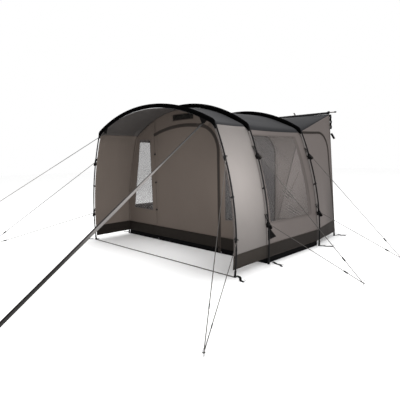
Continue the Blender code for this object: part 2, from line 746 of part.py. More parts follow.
def add_guys(group, cutters, cord, steel):
    """Each leg's two guys run from its brackets to one eye round the peg."""
    for (label, side), heights in BRACKETS.items():
        arch = ARCHES[label]
        sign = SIDES[side]
        peg = Vector((sign * GUY_PEG[label][0], GUY_PEG[label][1], 0.0))
        eye = peg + UP * RING_HEIGHT
        name = f"guy_{label}_{side}"
        body = finish(ring(name, eye, group), cord)
        for level, height in zip(("upper", "lower"), heights):
            tag = f"{name}_{level}"
            block, ends, start = bracket(f"{tag}_block", arch, sign, height, cutters)
            end = towards(eye, start)
            inside = start + (start - end).normalized() * GUY_OVERLAP
            line = as_mesh(tube(tag, [inside, end], GUY_RADIUS, cutters, cord, 1), cutters)
            hole = as_mesh(tube(f"{tag}_hole", ends, POLE_RADIUS + POLE_CLEARANCE, cutters, cord, 4), cutters)
            boolean(body, line, "UNION")
            boolean(body, block, "UNION")
            boolean(body, hole, "DIFFERENCE")
        foot = Vector((sign * arch.line[0][0], arch.y, 0))
        add_peg(f"peg_{label}_{side}", peg, (peg - foot).normalized(), group, steel)


def add_peg(name, foot, out, group, steel):
    """The part of a round steel peg above the ground, with its bent head."""
    points = [foot] + [foot + UP * PEG_HEIGHT * share + out * reach for share, reach in PEG_HEAD]
    tube(name, points, PEG_RADIUS, group, steel)


def gusset_outline(sign):
    """X and Z of the gusset between the front sleeve's underside and the top of a storm strap."""
    arch = ARCHES["front"]
    roof = arch.points(arch.sleeve_runs(), UNDER_SLEEVE)
    x, z = STORM_TOP
    ends = [x - GUSSET_HALF, x + GUSSET_HALF]
    line = sorted(ends + [float(value) for value in roof[:, 0] if ends[0] < value < ends[1]])
    upper = [(value, float(np.interp(value, roof[::-1, 0], roof[::-1, 1]))) for value in line]
    lower = [(x + GUSSET_FOOT_HALF, z - GUSSET_FOOT_DROP), (x - GUSSET_FOOT_HALF, z - GUSSET_FOOT_DROP)]
    return [(sign * u, v) for u, v in upper + lower]


def add_storm_straps(group, cutters, webbing, steel):
    """Flat straps from gussets under the front sleeve to pegs in front."""
    for side, sign in SIDES.items():
        top = Vector((sign * STORM_TOP[0], Y_FRONT, STORM_TOP[1]))
        foot = Vector((sign * STORM_PEG[0], STORM_PEG[1], 0.0))
        eye = foot + UP * RING_HEIGHT
        end = towards(eye, top)
        along = (end - top).normalized()
        across = along.cross(UP).normalized()
        size = ((end - top).length, STRAP_WIDTH, STRAP_THICKNESS)
        strap = oriented_box(f"storm_strap_{side}", (top + end) / 2, (along, across), size, group)
        finish(strap, webbing)
        outline = gusset_outline(sign)
        gusset = wall_panel(f"gusset_{side}", outline, [], Y_FRONT, GUSSET_THICKNESS, cutters, webbing)
        boolean(strap, as_mesh(gusset, cutters), "UNION")
        boolean(strap, ring(f"storm_eye_{side}", eye, cutters), "UNION")
        add_peg(f"storm_peg_{side}", foot, (foot - top).normalized(), group, steel)


def main():
    clear_scene()
    group = bpy.data.collections.new("drive_away_awning")
    cutters = bpy.data.collections.new("cutters")
    bpy.context.scene.collection.children.link(group)
    bpy.context.scene.collection.children.link(cutters)
    steel = make_material("pole_steel", (0.10, 0.10, 0.11), 0.35, 0.9)
    peg_steel = make_material("peg_steel", (0.35, 0.35, 0.36), 0.40, 1.0)
    black = make_material("sleeve_black", (0.012, 0.012, 0.013), 0.85)
    slate = make_material("roof_slate", (0.078, 0.078, 0.084), 0.80)
    taupe = make_material("wall_taupe", (0.230, 0.200, 0.182), 0.82)
    dark = make_material("mudwall_dark", (0.034, 0.030, 0.027), 0.70)
    film = make_material("window_film", (0.30, 0.31, 0.32), 0.08, 0.0, 0.4)
    mesh = make_material("mesh_black", (0.03, 0.03, 0.035), 0.90, 0.0, 0.6)
    webbing = make_material("webbing_grey", (0.12, 0.11, 0.105), 0.75)
    cord = make_material("guy_cord", (0.10, 0.09, 0.085), 0.80)
    add_poles(group, steel)
    add_sleeves(group, black)
    add_back_frame(group, steel, black)
    add_roofs(group, slate)
    add_side_walls(group, cutters, taupe, film)
    add_front_wall(group, taupe, dark, film, mesh)
    add_back_wall(group, taupe, mesh)
    add_side_skirts(group, dark)
    add_groundsheet(group, cutters, dark)
    add_ground_strap(group, webbing)
    add_guys(group, cutters, cord, peg_steel)
    add_storm_straps(group, cutters, webbing, peg_steel)


main()
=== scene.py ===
"""Looks of a drive-away awning: cloth, film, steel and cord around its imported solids.

Metres, +Z up. The open porch faces -Y, the vehicle side is +Y, and the ground is z = 0.
Cloth is a grid over the surface between two arches, and a trim is an outline carried along a line
on that surface.
"""
import logging
import math
from collections.abc import Callable, Sequence
from dataclasses import dataclass, field
from enum import Enum

import bmesh
import bpy
import numpy as np
from mathutils import Matrix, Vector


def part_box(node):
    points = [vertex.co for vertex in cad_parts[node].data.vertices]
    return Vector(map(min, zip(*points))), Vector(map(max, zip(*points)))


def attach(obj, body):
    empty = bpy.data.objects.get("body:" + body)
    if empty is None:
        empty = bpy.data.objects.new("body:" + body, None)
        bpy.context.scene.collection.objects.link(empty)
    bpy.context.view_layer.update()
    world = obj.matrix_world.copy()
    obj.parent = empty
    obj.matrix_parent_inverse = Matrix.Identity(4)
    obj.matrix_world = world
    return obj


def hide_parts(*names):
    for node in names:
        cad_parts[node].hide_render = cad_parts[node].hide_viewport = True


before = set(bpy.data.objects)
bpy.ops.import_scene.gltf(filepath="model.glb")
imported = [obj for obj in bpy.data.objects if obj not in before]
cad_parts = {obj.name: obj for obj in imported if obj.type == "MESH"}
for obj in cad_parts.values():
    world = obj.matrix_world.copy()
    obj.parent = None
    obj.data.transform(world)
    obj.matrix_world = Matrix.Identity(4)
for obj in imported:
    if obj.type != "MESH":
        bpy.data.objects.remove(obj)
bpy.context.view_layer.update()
log = logging.getLogger("awning")

Array = np.ndarray
Surface = Callable[[Array, Array, Array], Array]

POLE_RADIUS = 0.0095
COLLAR_RADIUS = 0.0106
EAVE = 1.73
ROOF_SPAN = 1.0
SKIRT_BOTTOM = 0.070
SIDE_SKIRT_TOP = 0.238
FRONT_SKIRT_TOP = 0.227
LEG_INSET = 0.0375
ROOF_INSET = 0.0147
TOP_INSET = 0.0410
UNDER_SLEEVE = 0.0460
SLEEVE_REACH = 0.075
CLOTH = 0.0009
SEAM_ALLOWANCE = 0.015
TAPE = 0.0016
SEAM = 0.0014
WELT = 0.0022
WELD = 2e-6
LEG_TO_ROOF = (1.60, 1.80)
SHARP_ANGLE = math.radians(40.0)
FILM = 0.0006
SLEEVE_END = 1.69
SIDES = {"right": 1.0, "left": -1.0}
X_AXIS, Y_AXIS, Z_AXIS = np.eye(3)
PEG_HINT = (0.3, 0.3, 0.0)


def middle_y(node: str) -> float:
    """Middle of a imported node's box along Y."""
    low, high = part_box(node)
    return (low.y + high.y) / 2


Y_FRONT = middle_y("pole_front")
Y_MID = middle_y("pole_mid")
Y_REAR = middle_y("pole_rear")
Y_BACK = middle_y("cross_pole")
BACK_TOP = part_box("sleeve_back")[0].z
BACK_TOP_HALF_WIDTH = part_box("sleeve_back")[1].x
BACK_FOOT_HALF_WIDTH = 1.432


def stacked(*parts: Array | float) -> Array:
    """Coordinates, repeated to a common shape, along a new last axis."""
    return np.stack(np.broadcast_arrays(*parts), -1)


def unit(vectors: Array) -> Array:
    """Vectors divided by their lengths."""
    return vectors / np.maximum(np.linalg.norm(vectors, axis=-1, keepdims=True), 1e-12)


def ease(t: Array) -> Array:
    """Smooth step: 3t^2 - 2t^3 between 0 and 1."""
    t = np.clip(t, 0.0, 1.0)
    return t * t * (3.0 - 2.0 * t)


def mix(a: Array, b: Array, share: Array) -> Array:
    """Straight blend from a to b."""
    return a * (1.0 - share) + b * share


def lengths(points: Array) -> Array:
    """Distance from the first point along a polyline."""
    return np.concatenate([[0.0], np.cumsum(np.linalg.norm(np.diff(points, axis=0), axis=1))])


def steps(grid: Array, way: int) -> Array:
    """Distances between a grid's neighbours down it (way 0) or across it (way 1)."""
    return np.linalg.norm(np.diff(grid, axis=way), axis=2)


def resample(points: Sequence, count: int) -> Array:
    """Points spaced evenly along a polyline."""
    points = np.asarray(points, float)
    run = lengths(points)
    even = np.linspace(0.0, run[-1], count)
    return np.stack([np.interp(even, run, points[:, k]) for k in range(points.shape[1])], 1)


def curve_through(knots: Sequence, count: int) -> Array:
    """Smooth curve through the knots: Catmull-Rom cubics, then evenly spaced points."""
    knots = np.asarray(knots, float)
    padded = np.concatenate([2 * knots[:1] - knots[1:2], knots, 2 * knots[-1:] - knots[-2:-1]])
    t = np.linspace(0.0, len(knots) - 1.0, 16 * len(knots))
    index = np.minimum(t.astype(int), len(knots) - 2)
    s = (t - index)[:, None]
    a, b, c, d = (padded[index + k] for k in range(4))
    line = 0.5 * (2 * b + (c - a) * s + (2 * a - 5 * b + 4 * c - d) * s ** 2
                  + (3 * b - a - 3 * c + d) * s ** 3)
    return resample(line, count)


class Held(Enum):
    """How a cloth is held."""

    STRETCHED = "stretched"
    HUNG = "hung"
    LAID = "laid"


@dataclass(frozen=True)
class Wire:
    """Output socket of a material's node; arithmetic on it adds Math nodes."""

    graph: "Graph"
    socket: bpy.types.NodeSocket

    def _math(self, operation: str, *values: object) -> "Wire":
        """Math node of that operation on the values."""
        return self.graph.node("ShaderNodeMath", {"operation": operation}, dict(enumerate(values)))

    def __add__(self, other: object) -> "Wire":
        """Sum."""
        return self._math("ADD", self, other)

    __radd__ = __add__

    def __sub__(self, other: object) -> "Wire":
        """Difference."""
        return self._math("SUBTRACT", self, other)

    def __rsub__(self, other: object) -> "Wire":
        """Difference from a number."""
        return self._math("SUBTRACT", other, self)

    def __mul__(self, other: object) -> "Wire":
        """Product."""
        return self._math("MULTIPLY", self, other)

    __rmul__ = __mul__

    def __truediv__(self, other: object) -> "Wire":
        """Quotient."""
        return self._math("DIVIDE", self, other)

    def __abs__(self) -> "Wire":
        """Absolute value."""
        return self._math("ABSOLUTE", self)

    def __lt__(self, other: object) -> "Wire":
        """1 where smaller."""
        return self._math("LESS_THAN", self, other)

    def __gt__(self, other: object) -> "Wire":
        """1 where greater."""
        return self._math("GREATER_THAN", self, other)

    def sine(self, pitch: float) -> "Wire":
        """Sine wave that repeats every pitch metres, from -1 to 1."""
        return self._math("SINE", self * (2.0 * math.pi / pitch))

    def within(self, pitch: float) -> "Wire":
        """Place inside a repeat of that pitch, from 0 to 1."""
        return self._math("FRACT", self / pitch)


class Graph:
    """Node tree of one material."""

    def __init__(self, name: str) -> None:
        """Starts an empty material.

        Args:
            name: the material's name.
        """
        self.material = bpy.data.materials.new(name)
        self.material.use_nodes = True
        self.tree = self.material.node_tree
        self.tree.nodes.clear()

    def node(self, kind: str, settings: dict | None = None, inputs: dict | None = None,
             output: int | str = 0) -> Wire:
        """Adds a node.

        Args:
            kind: the node's type.
            settings: properties that are set first; "stops" fills a colour ramp.
            inputs: values or wires by socket name or number.
            output: the output socket to return.

        Returns:
            The chosen output.
        """
        made = self.tree.nodes.new(kind)
        for key, value in (settings or {}).items():
            if key == "stops":
                ramp = made.color_ramp.elements
                while len(ramp) < len(value):
                    ramp.new(0.5)
                for element, (place, colour) in zip(ramp, value):
                    element.position = place
                    element.color = (*colour, 1.0)
            else:
                setattr(made, key, value)
        for key, value in (inputs or {}).items():
            if isinstance(value, Wire):
                self.tree.links.new(value.socket, made.inputs[key])
            elif isinstance(value, tuple) and len(value) == 3 and made.inputs[key].type == "RGBA":
                made.inputs[key].default_value = (*value, 1.0)
            else:
                made.inputs[key].default_value = value
        return Wire(self, made.outputs[output])

    def across(self) -> tuple[Wire, Wire]:
        """The piece's own UV in metres, as two numbers."""
        uv = self.node("ShaderNodeUVMap", {"uv_map": "metres"})
        parts = self.node("ShaderNodeSeparateXYZ", None, {"Vector": uv})
        return parts, Wire(self, parts.socket.node.outputs[1])

    def noise(self, scale: float, detail: float = 2.0, stretch: tuple = (1.0, 1.0, 1.0)) -> Wire:
        """Noise from 0 to 1 over Object coordinates, stretched by a Mapping node."""
        place = self.node("ShaderNodeTexCoord", None, None, "Object")
        place = self.node("ShaderNodeMapping", None, {"Vector": place, "Scale": stretch})
        return self.node("ShaderNodeTexNoise", None, {"Vector": place, "Scale": scale, "Detail": detail})

    def blend(self, factor: Wire, a: object, b: object) -> Wire:
        """Colour mix from a to b."""
        return self.node("ShaderNodeMix", {"data_type": "RGBA", "clamp_factor": True},
                         {"Factor": factor, 6: a, 7: b}, 2)

    def ramp(self, value: Wire, start: float, end: float) -> Wire:
        """Straight ramp from 0 at start to 1 at end, held beyond them."""
        return self.node("ShaderNodeMapRange", None, {"Value": value, "From Min": start, "From Max": end})

    def bump(self, height: Wire, strength: float, distance: float) -> Wire:
        """Bumped normal."""
        return self.node("ShaderNodeBump", None,
                         {"Height": height, "Strength": strength, "Distance": distance})

    def surface(self, colour: object, roughness: object, gloss: float,
                **sockets: object) -> bpy.types.Material:
        """Principled shader on the output.

        Args:
            colour: base colour.
            roughness: roughness.
            gloss: specular level, the same all over.
            sockets: other values or wires by socket name, with _ for a space.

        Returns:
            The finished material.
        """
        named = {"Base Color": colour, "Roughness": roughness, "Specular IOR Level": gloss}
        named |= {key.replace("_", " "): value for key, value in sockets.items()}
        shader = self.node("ShaderNodeBsdfPrincipled", None, named, "BSDF")
        end = self.tree.nodes.new("ShaderNodeOutputMaterial")
        self.tree.links.new(shader.socket, end.inputs["Surface"])
        return self.material


def tone(colour: tuple, share: float) -> tuple:
    """Colour made lighter or darker by a share."""
    return tuple(min(1.0, max(0.0, c * share)) for c in colour)


@dataclass(frozen=True)
class Finish:
    """Finish with a name and a main colour."""

    name: str
    colour: tuple

    def shades(self, graph: Graph, factor: Wire, low: float, high: float) -> Wire:
        """Colour between two shares of the main one."""
        return graph.blend(factor, tone(self.colour, low), tone(self.colour, high))


@dataclass(frozen=True)
class CoatedCloth(Finish):
    """Coated polyester: plain weave, soft mottling, faint creases and, with a corner share under 1, painted
    shade in the lower rear corner.
    """

    roughness: float = 0.62
    pitch: float = 0.0012
    mottle: float = 0.08
    gloss: float = 0.2
    crease: float = 0.3
    # Share of the colour left in the lower rear corner; under 1 it paints shade there.
    soil: float = 1.0

    def material(self) -> bpy.types.Material:
        """Material whose weave is two crossed sines over UV and whose mottling is noise."""
        graph = Graph(self.name)
        u, v = graph.across()
        weave = u.sine(self.pitch) * v.sine(self.pitch)
        cloud = graph.noise(2.6, 3.0)
        grain = graph.noise(90.0, 2.0)
        shade = cloud * 0.7 + grain * 0.3
        colour = self.shades(graph, shade, 1.0 - self.mottle, 1.0 + self.mottle)
        # Painted shade: the colour darkens towards the lower rear corner, down to that share.
        if self.soil < 1.0:
            rear = graph.ramp(u, 1.02, 1.36) * graph.ramp(v, 1.30, 0.30)
            colour = graph.blend(rear, colour, tone(self.colour, self.soil))
        creases = graph.noise(7.0, 4.0, (1.0, 1.0, 0.35))
        fine = graph.bump(weave * 0.5 + grain, 0.25, 0.0003)
        normal = graph.node("ShaderNodeBump", None, {"Height": creases, "Strength": self.crease,
                                                     "Distance": 0.012, "Normal": fine})
        rough = self.roughness + (grain - 0.5) * 0.16
        return graph.surface(colour, rough, self.gloss, Normal=normal)


@dataclass(frozen=True)
class Webbing(Finish):
    """Woven tape: ribs across, two rows of stitches along its edges, and a fuzzy surface."""

    half_width: float = 0.012
    rib: float = 0.0022
    thread: tuple = (0.16, 0.15, 0.14)
    selvedge: tuple | None = None
    selvedge_from: float = 0.005
    gloss: float = 0.12
    # Painted shade along the length: stops giving the share of the colour that is kept.
    painted_shade_stops: tuple = ()
    length: float = 1.0

    def material(self) -> bpy.types.Material:
        """Material with ribs as a sine along U, dashed stitches, a dark selvedge and painted shade by length.
        """
        graph = Graph(self.name)
        u, v = graph.across()
        ribs = u.sine(self.rib)
        fuzz = graph.noise(160.0, 2.0)
        colour = self.shades(graph, fuzz, 0.75, 1.25)
        if self.selvedge:
            colour = graph.blend(v > self.selvedge_from, colour, self.selvedge)
        # Painted shade: the colour is darkened along the strap by the stops.
        if self.painted_shade_stops:
            stops = [(place, (share,) * 3) for place, share in self.painted_shade_stops]
            unshaded_share = graph.node("ShaderNodeValToRGB", {"stops": stops}, {"Fac": u / self.length})
            colour = graph.blend(unshaded_share, (0.0, 0.0, 0.0), colour)
        row = abs(abs(v) - self.half_width * 0.74) < 0.0007
        stitch = row * (u.within(0.0045) < 0.66)
        colour = graph.blend(stitch, colour, self.thread)
        height = ribs * 0.5 + fuzz * 0.6 + stitch * 1.2
        return graph.surface(colour, 0.78 + (fuzz - 0.5) * 0.2, self.gloss,
                             Normal=graph.bump(height, 0.45, 0.0005))


@dataclass(frozen=True)
class BraidedCord(Finish):
    """Braided cord: strands that cross round it, with a lighter fleck."""

    fleck: tuple
    strand: float = 0.006

    def material(self) -> bpy.types.Material:
        """Material with the strands as crossed diagonals over UV."""
        graph = Graph(self.name)
        u, v = graph.across()
        one = (u + v * 1.6).sine(self.strand)
        two = (u - v * 1.6).sine(self.strand)
        braid = one * two
        wear = graph.noise(40.0, 3.0)
        colour = graph.blend((braid > 0.35) * 0.6, tone(self.colour, 0.85), self.fleck)
        colour = graph.blend(wear * 0.3, colour, tone(self.colour, 1.5))
        return graph.surface(colour, 0.72 + wear * 0.1, 0.15, Normal=graph.bump(braid, 0.5, 0.0006))


@dataclass(frozen=True)
class Metal(Finish):
    """Bare or coated steel with drawn lines, scuffs and dull patches."""

    metallic: float
    roughness: float
    coat: float = 0.0
    gloss: float = 0.5

    def material(self) -> bpy.types.Material:
        """Material with scratches as noise stretched along the tube's UV and wear in colour."""
        graph = Graph(self.name)
        u, v = graph.across()
        lines = graph.node("ShaderNodeCombineXYZ", None, {0: u * 9.0, 1: v * 900.0})
        drawn = graph.node("ShaderNodeTexNoise", None, {"Vector": lines, "Scale": 1.0, "Detail": 2.0})
        dull = graph.noise(14.0, 3.0)
        colour = self.shades(graph, dull, 0.8, 1.2)
        rough = self.roughness + (drawn - 0.5) * 0.12 + (dull - 0.5) * 0.14
        return graph.surface(colour, rough, self.gloss, Metallic=self.metallic, Coat_Weight=self.coat,
                             Normal=graph.bump(drawn, 0.12, 0.0003))


@dataclass(frozen=True)
class Moulded(Finish):
    """Moulded plastic with a fine grain and rubbed patches."""

    roughness: float = 0.42

    def material(self) -> bpy.types.Material:
        """Material with spark grain in the bump and rubs in the roughness."""
        graph = Graph(self.name)
        grain = graph.noise(700.0, 1.0)
        rub = graph.noise(30.0, 3.0)
        colour = self.shades(graph, rub, 0.8, 1.35)
        return graph.surface(colour, self.roughness + (rub - 0.5) * 0.25, 0.10,
                             Normal=graph.bump(grain, 0.2, 0.0003))


@dataclass(frozen=True)
class ClearFilm(Finish):
    """Clear flexible film: a little grey and glossy, with hazy rubs, and painted shade on its creased folds.
    """

    cover: float
    # Colour and extra cover on the folds: painted shade of the creases.
    fold: tuple = (0.034, 0.031, 0.030)
    fold_cover: float = 0.80
    still: float = 1.0

    def material(self) -> bpy.types.Material:
        """Material whose haze, from noise, changes alpha and roughness, and whose folds are darker and
        denser: painted shade on the creases.
        """
        graph = Graph(self.name)
        haze = graph.noise(3.0, 2.0)
        rub = graph.noise(40.0, 2.0, (1.0, 1.0, 0.25))
        ripple = graph.noise(6.0, 1.0, (1.0, 1.0, 0.4))
        # The folds attribute weights the painted shade on the creases.
        folds = graph.node("ShaderNodeAttribute", {"attribute_name": "folds"}, None, "Fac")
        colour = self.shades(graph, haze, 0.85, 1.15)
        colour = graph.blend(folds, colour, self.fold)
        alpha = self.cover + (haze - 0.5) * (0.04 * self.still) + folds * self.fold_cover
        return graph.surface(colour, 0.24 + rub * 0.10, 0.18, Alpha=alpha,
                             Normal=graph.bump(ripple, 0.15 * self.still, 0.002))


@dataclass(frozen=True)
class InsectMesh(Finish):
    """Fine dark netting: threads on a square grid with half-open gaps between them."""

    pitch: float = 0.0030
    cover: float = 0.78

    def material(self) -> bpy.types.Material:
        """Material whose threads, near the lines of a grid over UV, are opaque."""
        graph = Graph(self.name)
        u, v = graph.across()
        threads = (u.within(self.pitch) < 0.3) + (v.within(self.pitch) < 0.3)
        soft = graph.noise(6.0, 2.0)
        colour = self.shades(graph, soft, 0.8, 1.2)
        alpha = self.cover - 0.10 + threads * 0.12 + (soft - 0.5) * 0.08
        return graph.surface(colour, 0.85, 0.1, Alpha=alpha, Normal=graph.bump(threads, 0.4, 0.0005))


@dataclass(frozen=True)
class Laminate(Finish):
    """Woven and laminated groundsheet: coarse tape weave under a dull gloss, a little dusty."""

    tape: float = 0.0035

    def material(self) -> bpy.types.Material:
        """Material with square tape weave in the bump and dust as noise in colour and roughness."""
        graph = Graph(self.name)
        u, v = graph.across()
        weave = u.sine(self.tape) * v.sine(self.tape)
        dust = graph.noise(9.0, 5.0)
        colour = graph.blend(dust * 0.5, self.colour, tone(self.colour, 2.0))
        return graph.surface(colour, 0.6 + dust * 0.25, 0.03, Normal=graph.bump(weave, 0.4, 0.0004))


@dataclass(frozen=True)
class Floor(Finish):
    """Plain pale studio floor."""

    def material(self) -> bpy.types.Material:
        """Material with hardly visible mottling."""
        graph = Graph(self.name)
        soft = graph.noise(0.6, 2.0)
        return graph.surface(graph.blend(soft, tone(self.colour, 0.99), self.colour), 0.9, 0.1)


class Finishes:
    """All finishes of the awning, made once."""

    def __init__(self) -> None:
        """Builds every material."""
        def coated(name: str, colour: tuple, roughness: float, gloss: float,
                   **more: float) -> bpy.types.Material:
            """Coated cloth's material."""
            return CoatedCloth(name, colour, roughness=roughness, gloss=gloss, **more).material()

        taupe = (0.132, 0.114, 0.107)
        self.roof = coated("slate_cloth", (0.0186, 0.0186, 0.0203), 0.66, 0.10)
        self.lining = coated("slate_cloth_back", (0.075, 0.069, 0.066), 0.66, 0.08)
        self.wall = coated("taupe_cloth", taupe, 0.60, 0.12)
        # Tunnel cloth with painted shade in its lower rear corner.
        self.rear = coated("rear_taupe_cloth", taupe, 0.60, 0.12, soil=0.45)
        # Darker, browner copy of the taupe: painted shade for the front wall under the porch roof.
        self.inner = coated("painted_shade_front_wall_cloth", (0.112, 0.0915, 0.0785), 0.64, 0.08)
        self.side = coated("light_brown_cloth_back", (0.142, 0.118, 0.102), 0.64, 0.08)
        # Lighter copy of the taupe: painted light on the inner wall, seen through the windows.
        self.lit = coated("painted_light_inner_taupe_cloth", (0.150, 0.131, 0.124), 0.64, 0.08)
        # Lighter still: painted light on the inner wall's triangles beside the leaning tapes.
        self.gore = coated("painted_light_gore_cloth", (0.200, 0.177, 0.169), 0.64, 0.08)
        # Lighter copy of the taupe: painted light on the porch walls' outer face and on strips beside the
        # poles.
        self.pale = coated("painted_light_taupe_cloth", (0.158, 0.145, 0.138), 0.60, 0.12)
        self.mudwall = coated("dark_brown_cloth", (0.032, 0.027, 0.023), 0.60, 0.06)
        # Two darker copies of the mudwall brown, painted shade: one for the room's and tunnel's bays, one for
        # inner faces and the front strip.
        self.deep = coated("deep_brown_cloth", (0.021, 0.0175, 0.0155), 0.60, 0.05)
        self.shade = coated("brown_black_cloth", (0.017, 0.0142, 0.0122), 0.60, 0.04)
        self.sleeve = coated("black_sleeve_cloth", (0.0016, 0.0016, 0.0017), 0.85, 0.0, pitch=0.002)
        self.flap = coated("dark_zip_flap", (0.038, 0.031, 0.027), 0.60, 0.05)
        self.welt = coated("window_welt_cloth", tone(taupe, 0.80), 0.60, 0.10)
        self.hem = Webbing("taupe_hem_tape", tone(taupe, 0.72), 0.009).material()
        self.strap = Webbing("grey_strap_webbing", (0.110, 0.102, 0.097), 0.012,
                             thread=(0.05, 0.05, 0.05)).material()
        # Painted shade along the storm strap: dark under the sleeve at its top and where its underside turns
        # away from the light lower down.
        painted_shade_stops = ((0.0, 0.06), (0.08, 0.16), (0.20, 0.26), (0.25, 0.40), (0.325, 1.0), (0.56, 0.95),
                 (0.62, 0.36), (0.69, 0.15), (1.0, 0.12))
        self.storm = Webbing("storm_strap_webbing", (0.260, 0.245, 0.238), 0.018, thread=(0.10, 0.095, 0.09),
                             selvedge=(0.030, 0.027, 0.026), selvedge_from=0.006, painted_shade_stops=painted_shade_stops,
                             length=3.35).material()
        self.tail = Webbing("black_webbing", (0.0045, 0.0042, 0.0042), 0.010, thread=(0.010, 0.010, 0.010),
                            gloss=0.03).material()
        self.cord = BraidedCord("guy_cord_braid", (0.055, 0.051, 0.048), (0.14, 0.13, 0.12)).material()
        self.pole = Metal("dark_coated_steel", (0.006, 0.006, 0.0065), 0.05, 0.52, 0.0, 0.10).material()
        self.grey_pole = Metal("grey_coated_steel", (0.150, 0.138, 0.132), 0.30, 0.45, 0.05).material()
        self.bright = Metal("plated_steel", (0.42, 0.42, 0.43), 1.0, 0.34).material()
        self.plastic = Moulded("black_moulding", (0.006, 0.006, 0.0065)).material()
        self.film = ClearFilm("clear_film", (0.20, 0.182, 0.172), 0.10).material()
        self.tinted = ClearFilm("tinted_film", (0.120, 0.114, 0.112), 0.345, still=0.0).material()
        self.mesh = InsectMesh("insect_mesh", (0.052, 0.050, 0.054), cover=0.98).material()
        self.vent = InsectMesh("vent_mesh", (0.012, 0.011, 0.010), cover=0.95).material()
        self.ground = Laminate("groundsheet_laminate", (0.0022, 0.0022, 0.0024)).material()
        self.coil = Moulded("zip_coil", (0.010, 0.0095, 0.009), 0.5).material()


@dataclass
class Form:
    """Grids of points with UV in metres, gathered into one mesh."""

    points: list = field(default_factory=list)
    uvs: list = field(default_factory=list)
    marks: list = field(default_factory=list)
    # Share of painted shade on a film's creases at each point, or none.
    folds: Array | None = None

    def add(self, grid: Array, uv: Array | None = None, mark: int = 0) -> "Form":
        """Takes one grid.

        Args:
            grid: points, (rows, columns, 3).
            uv: metres along and across, (rows, columns, 2), or worked out from distances.
            mark: number of its finish.

        Returns:
            This form.
        """
        if uv is None:
            u, v = (np.concatenate([[0.0], np.cumsum(steps(grid, way).mean(1 - way))]) for way in (0, 1))
            uv = stacked(u[:, None], v)
        self.points.append(grid)
        self.uvs.append(uv)
        self.marks.append(mark)
        return self

    def cut_area(self) -> float:
        """Area to cut: all quads' two triangles, and the seam allowance along the first and last rows."""
        total = 0.0
        for g in self.points:
            one = np.cross(g[1:, :-1] - g[:-1, :-1], g[1:, 1:] - g[:-1, :-1])
            two = np.cross(g[1:, 1:] - g[:-1, :-1], g[:-1, 1:] - g[:-1, :-1])
            total += (np.linalg.norm(one, axis=-1).sum() + np.linalg.norm(two, axis=-1).sum()) / 2
            total += SEAM_ALLOWANCE * (lengths(g[0])[-1] + lengths(g[-1])[-1])
        return float(total)

    def tube(self, path: Array, radius: float | tuple, sides: int, hint: Sequence = Y_AXIS,
             size: Array | float = 1.0, mark: int = 0) -> "Form":
        """Takes a circle or ellipse carried along a path, with V measured round it."""
        return self.add(*carry(path, circle(radius, sides), hint, size, around=True), mark=mark)

    def tape(self, surface: Surface, line: Array, half_width: float, thickness: float, lift: float = 0.0,
             mark: int = 0, closed: bool = False) -> "Form":
        """Takes a flat tape carried along a line on a surface."""
        return self.add(*carry_on(surface, line, slab(half_width, thickness), lift, closed), mark=mark)

    def build(self, name: str, finishes: Sequence, thickness: float = 0.0,
              outwards: bool = False) -> bpy.types.Object:
        """Puts the grids into one mesh object with its seams and poles welded.

        Args:
            name: the piece's name.
            finishes: materials by mark number.
            thickness: thickness of an open cloth, or 0 for a closed shape.
            outwards: turn the faces outwards, for closed shapes.

        Returns:
            The new object.
        """
        corners = []
        uv_loops = []
        marks = []
        start = 0
        for grid, uv, mark in zip(self.points, self.uvs, self.marks):
            rows, columns = grid.shape[:2]
            index = np.arange(rows * columns).reshape(rows, columns)
            quad = stacked(index[:-1, :-1], index[:-1, 1:], index[1:, 1:], index[1:, :-1]).reshape(-1, 4)
            corners.append(quad + start)
            uv_loops.append(uv.reshape(-1, 2)[quad.ravel()])
            marks.append(np.full(len(quad), mark, np.int32))
            start += rows * columns
        faces = np.concatenate(corners).astype(np.int32)
        points = np.concatenate([grid.reshape(-1, 3) for grid in self.points]).astype(np.float32)
        mesh = bpy.data.meshes.new(name)
        mesh.vertices.add(len(points))
        mesh.vertices.foreach_set("co", points.ravel())
        mesh.loops.add(faces.size)
        mesh.loops.foreach_set("vertex_index", faces.ravel())
        mesh.polygons.add(len(faces))
        mesh.polygons.foreach_set("loop_start", np.arange(0, faces.size, 4, dtype=np.int32))
        mesh.polygons.foreach_set("material_index", np.concatenate(marks))
        layer = mesh.uv_layers.new(name="metres")
        layer.data.foreach_set("uv", np.concatenate(uv_loops).astype(np.float32).ravel())
        # Painted shade of a film's creases, kept as a point attribute.
        if self.folds is not None:
            creased = mesh.attributes.new("folds", "FLOAT", "POINT")
            creased.data.foreach_set("value", self.folds.astype(np.float32).ravel())
        mesh.update(calc_edges=True)
        work = bmesh.new()
        work.from_mesh(mesh)
        bmesh.ops.remove_doubles(work, verts=work.verts, dist=WELD)
        if outwards:
            bmesh.ops.recalc_face_normals(work, faces=work.faces)
        work.to_mesh(mesh)
        work.free()
        mesh.shade_smooth()
        mesh.set_sharp_from_angle(angle=SHARP_ANGLE)
        for finish in finishes:
            mesh.materials.append(finish)
        piece = bpy.data.objects.new(name, mesh)
        bpy.context.scene.collection.objects.link(piece)
        if thickness:
            solid = piece.modifiers.new("thickness", "SOLIDIFY")
            solid.thickness = thickness
            solid.offset = 0.0
            solid.use_quality_normals = True
            solid.material_offset = len(finishes) - 1
        return piece


def settle(piece: bpy.types.Object, slot: str, *nodes: str) -> None:
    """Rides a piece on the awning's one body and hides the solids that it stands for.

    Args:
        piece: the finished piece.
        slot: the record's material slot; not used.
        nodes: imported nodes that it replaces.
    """
    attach(piece, "root")
    if nodes:
        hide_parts(*nodes)
    log.info("%s: %d faces", piece.name, len(piece.data.polygons))


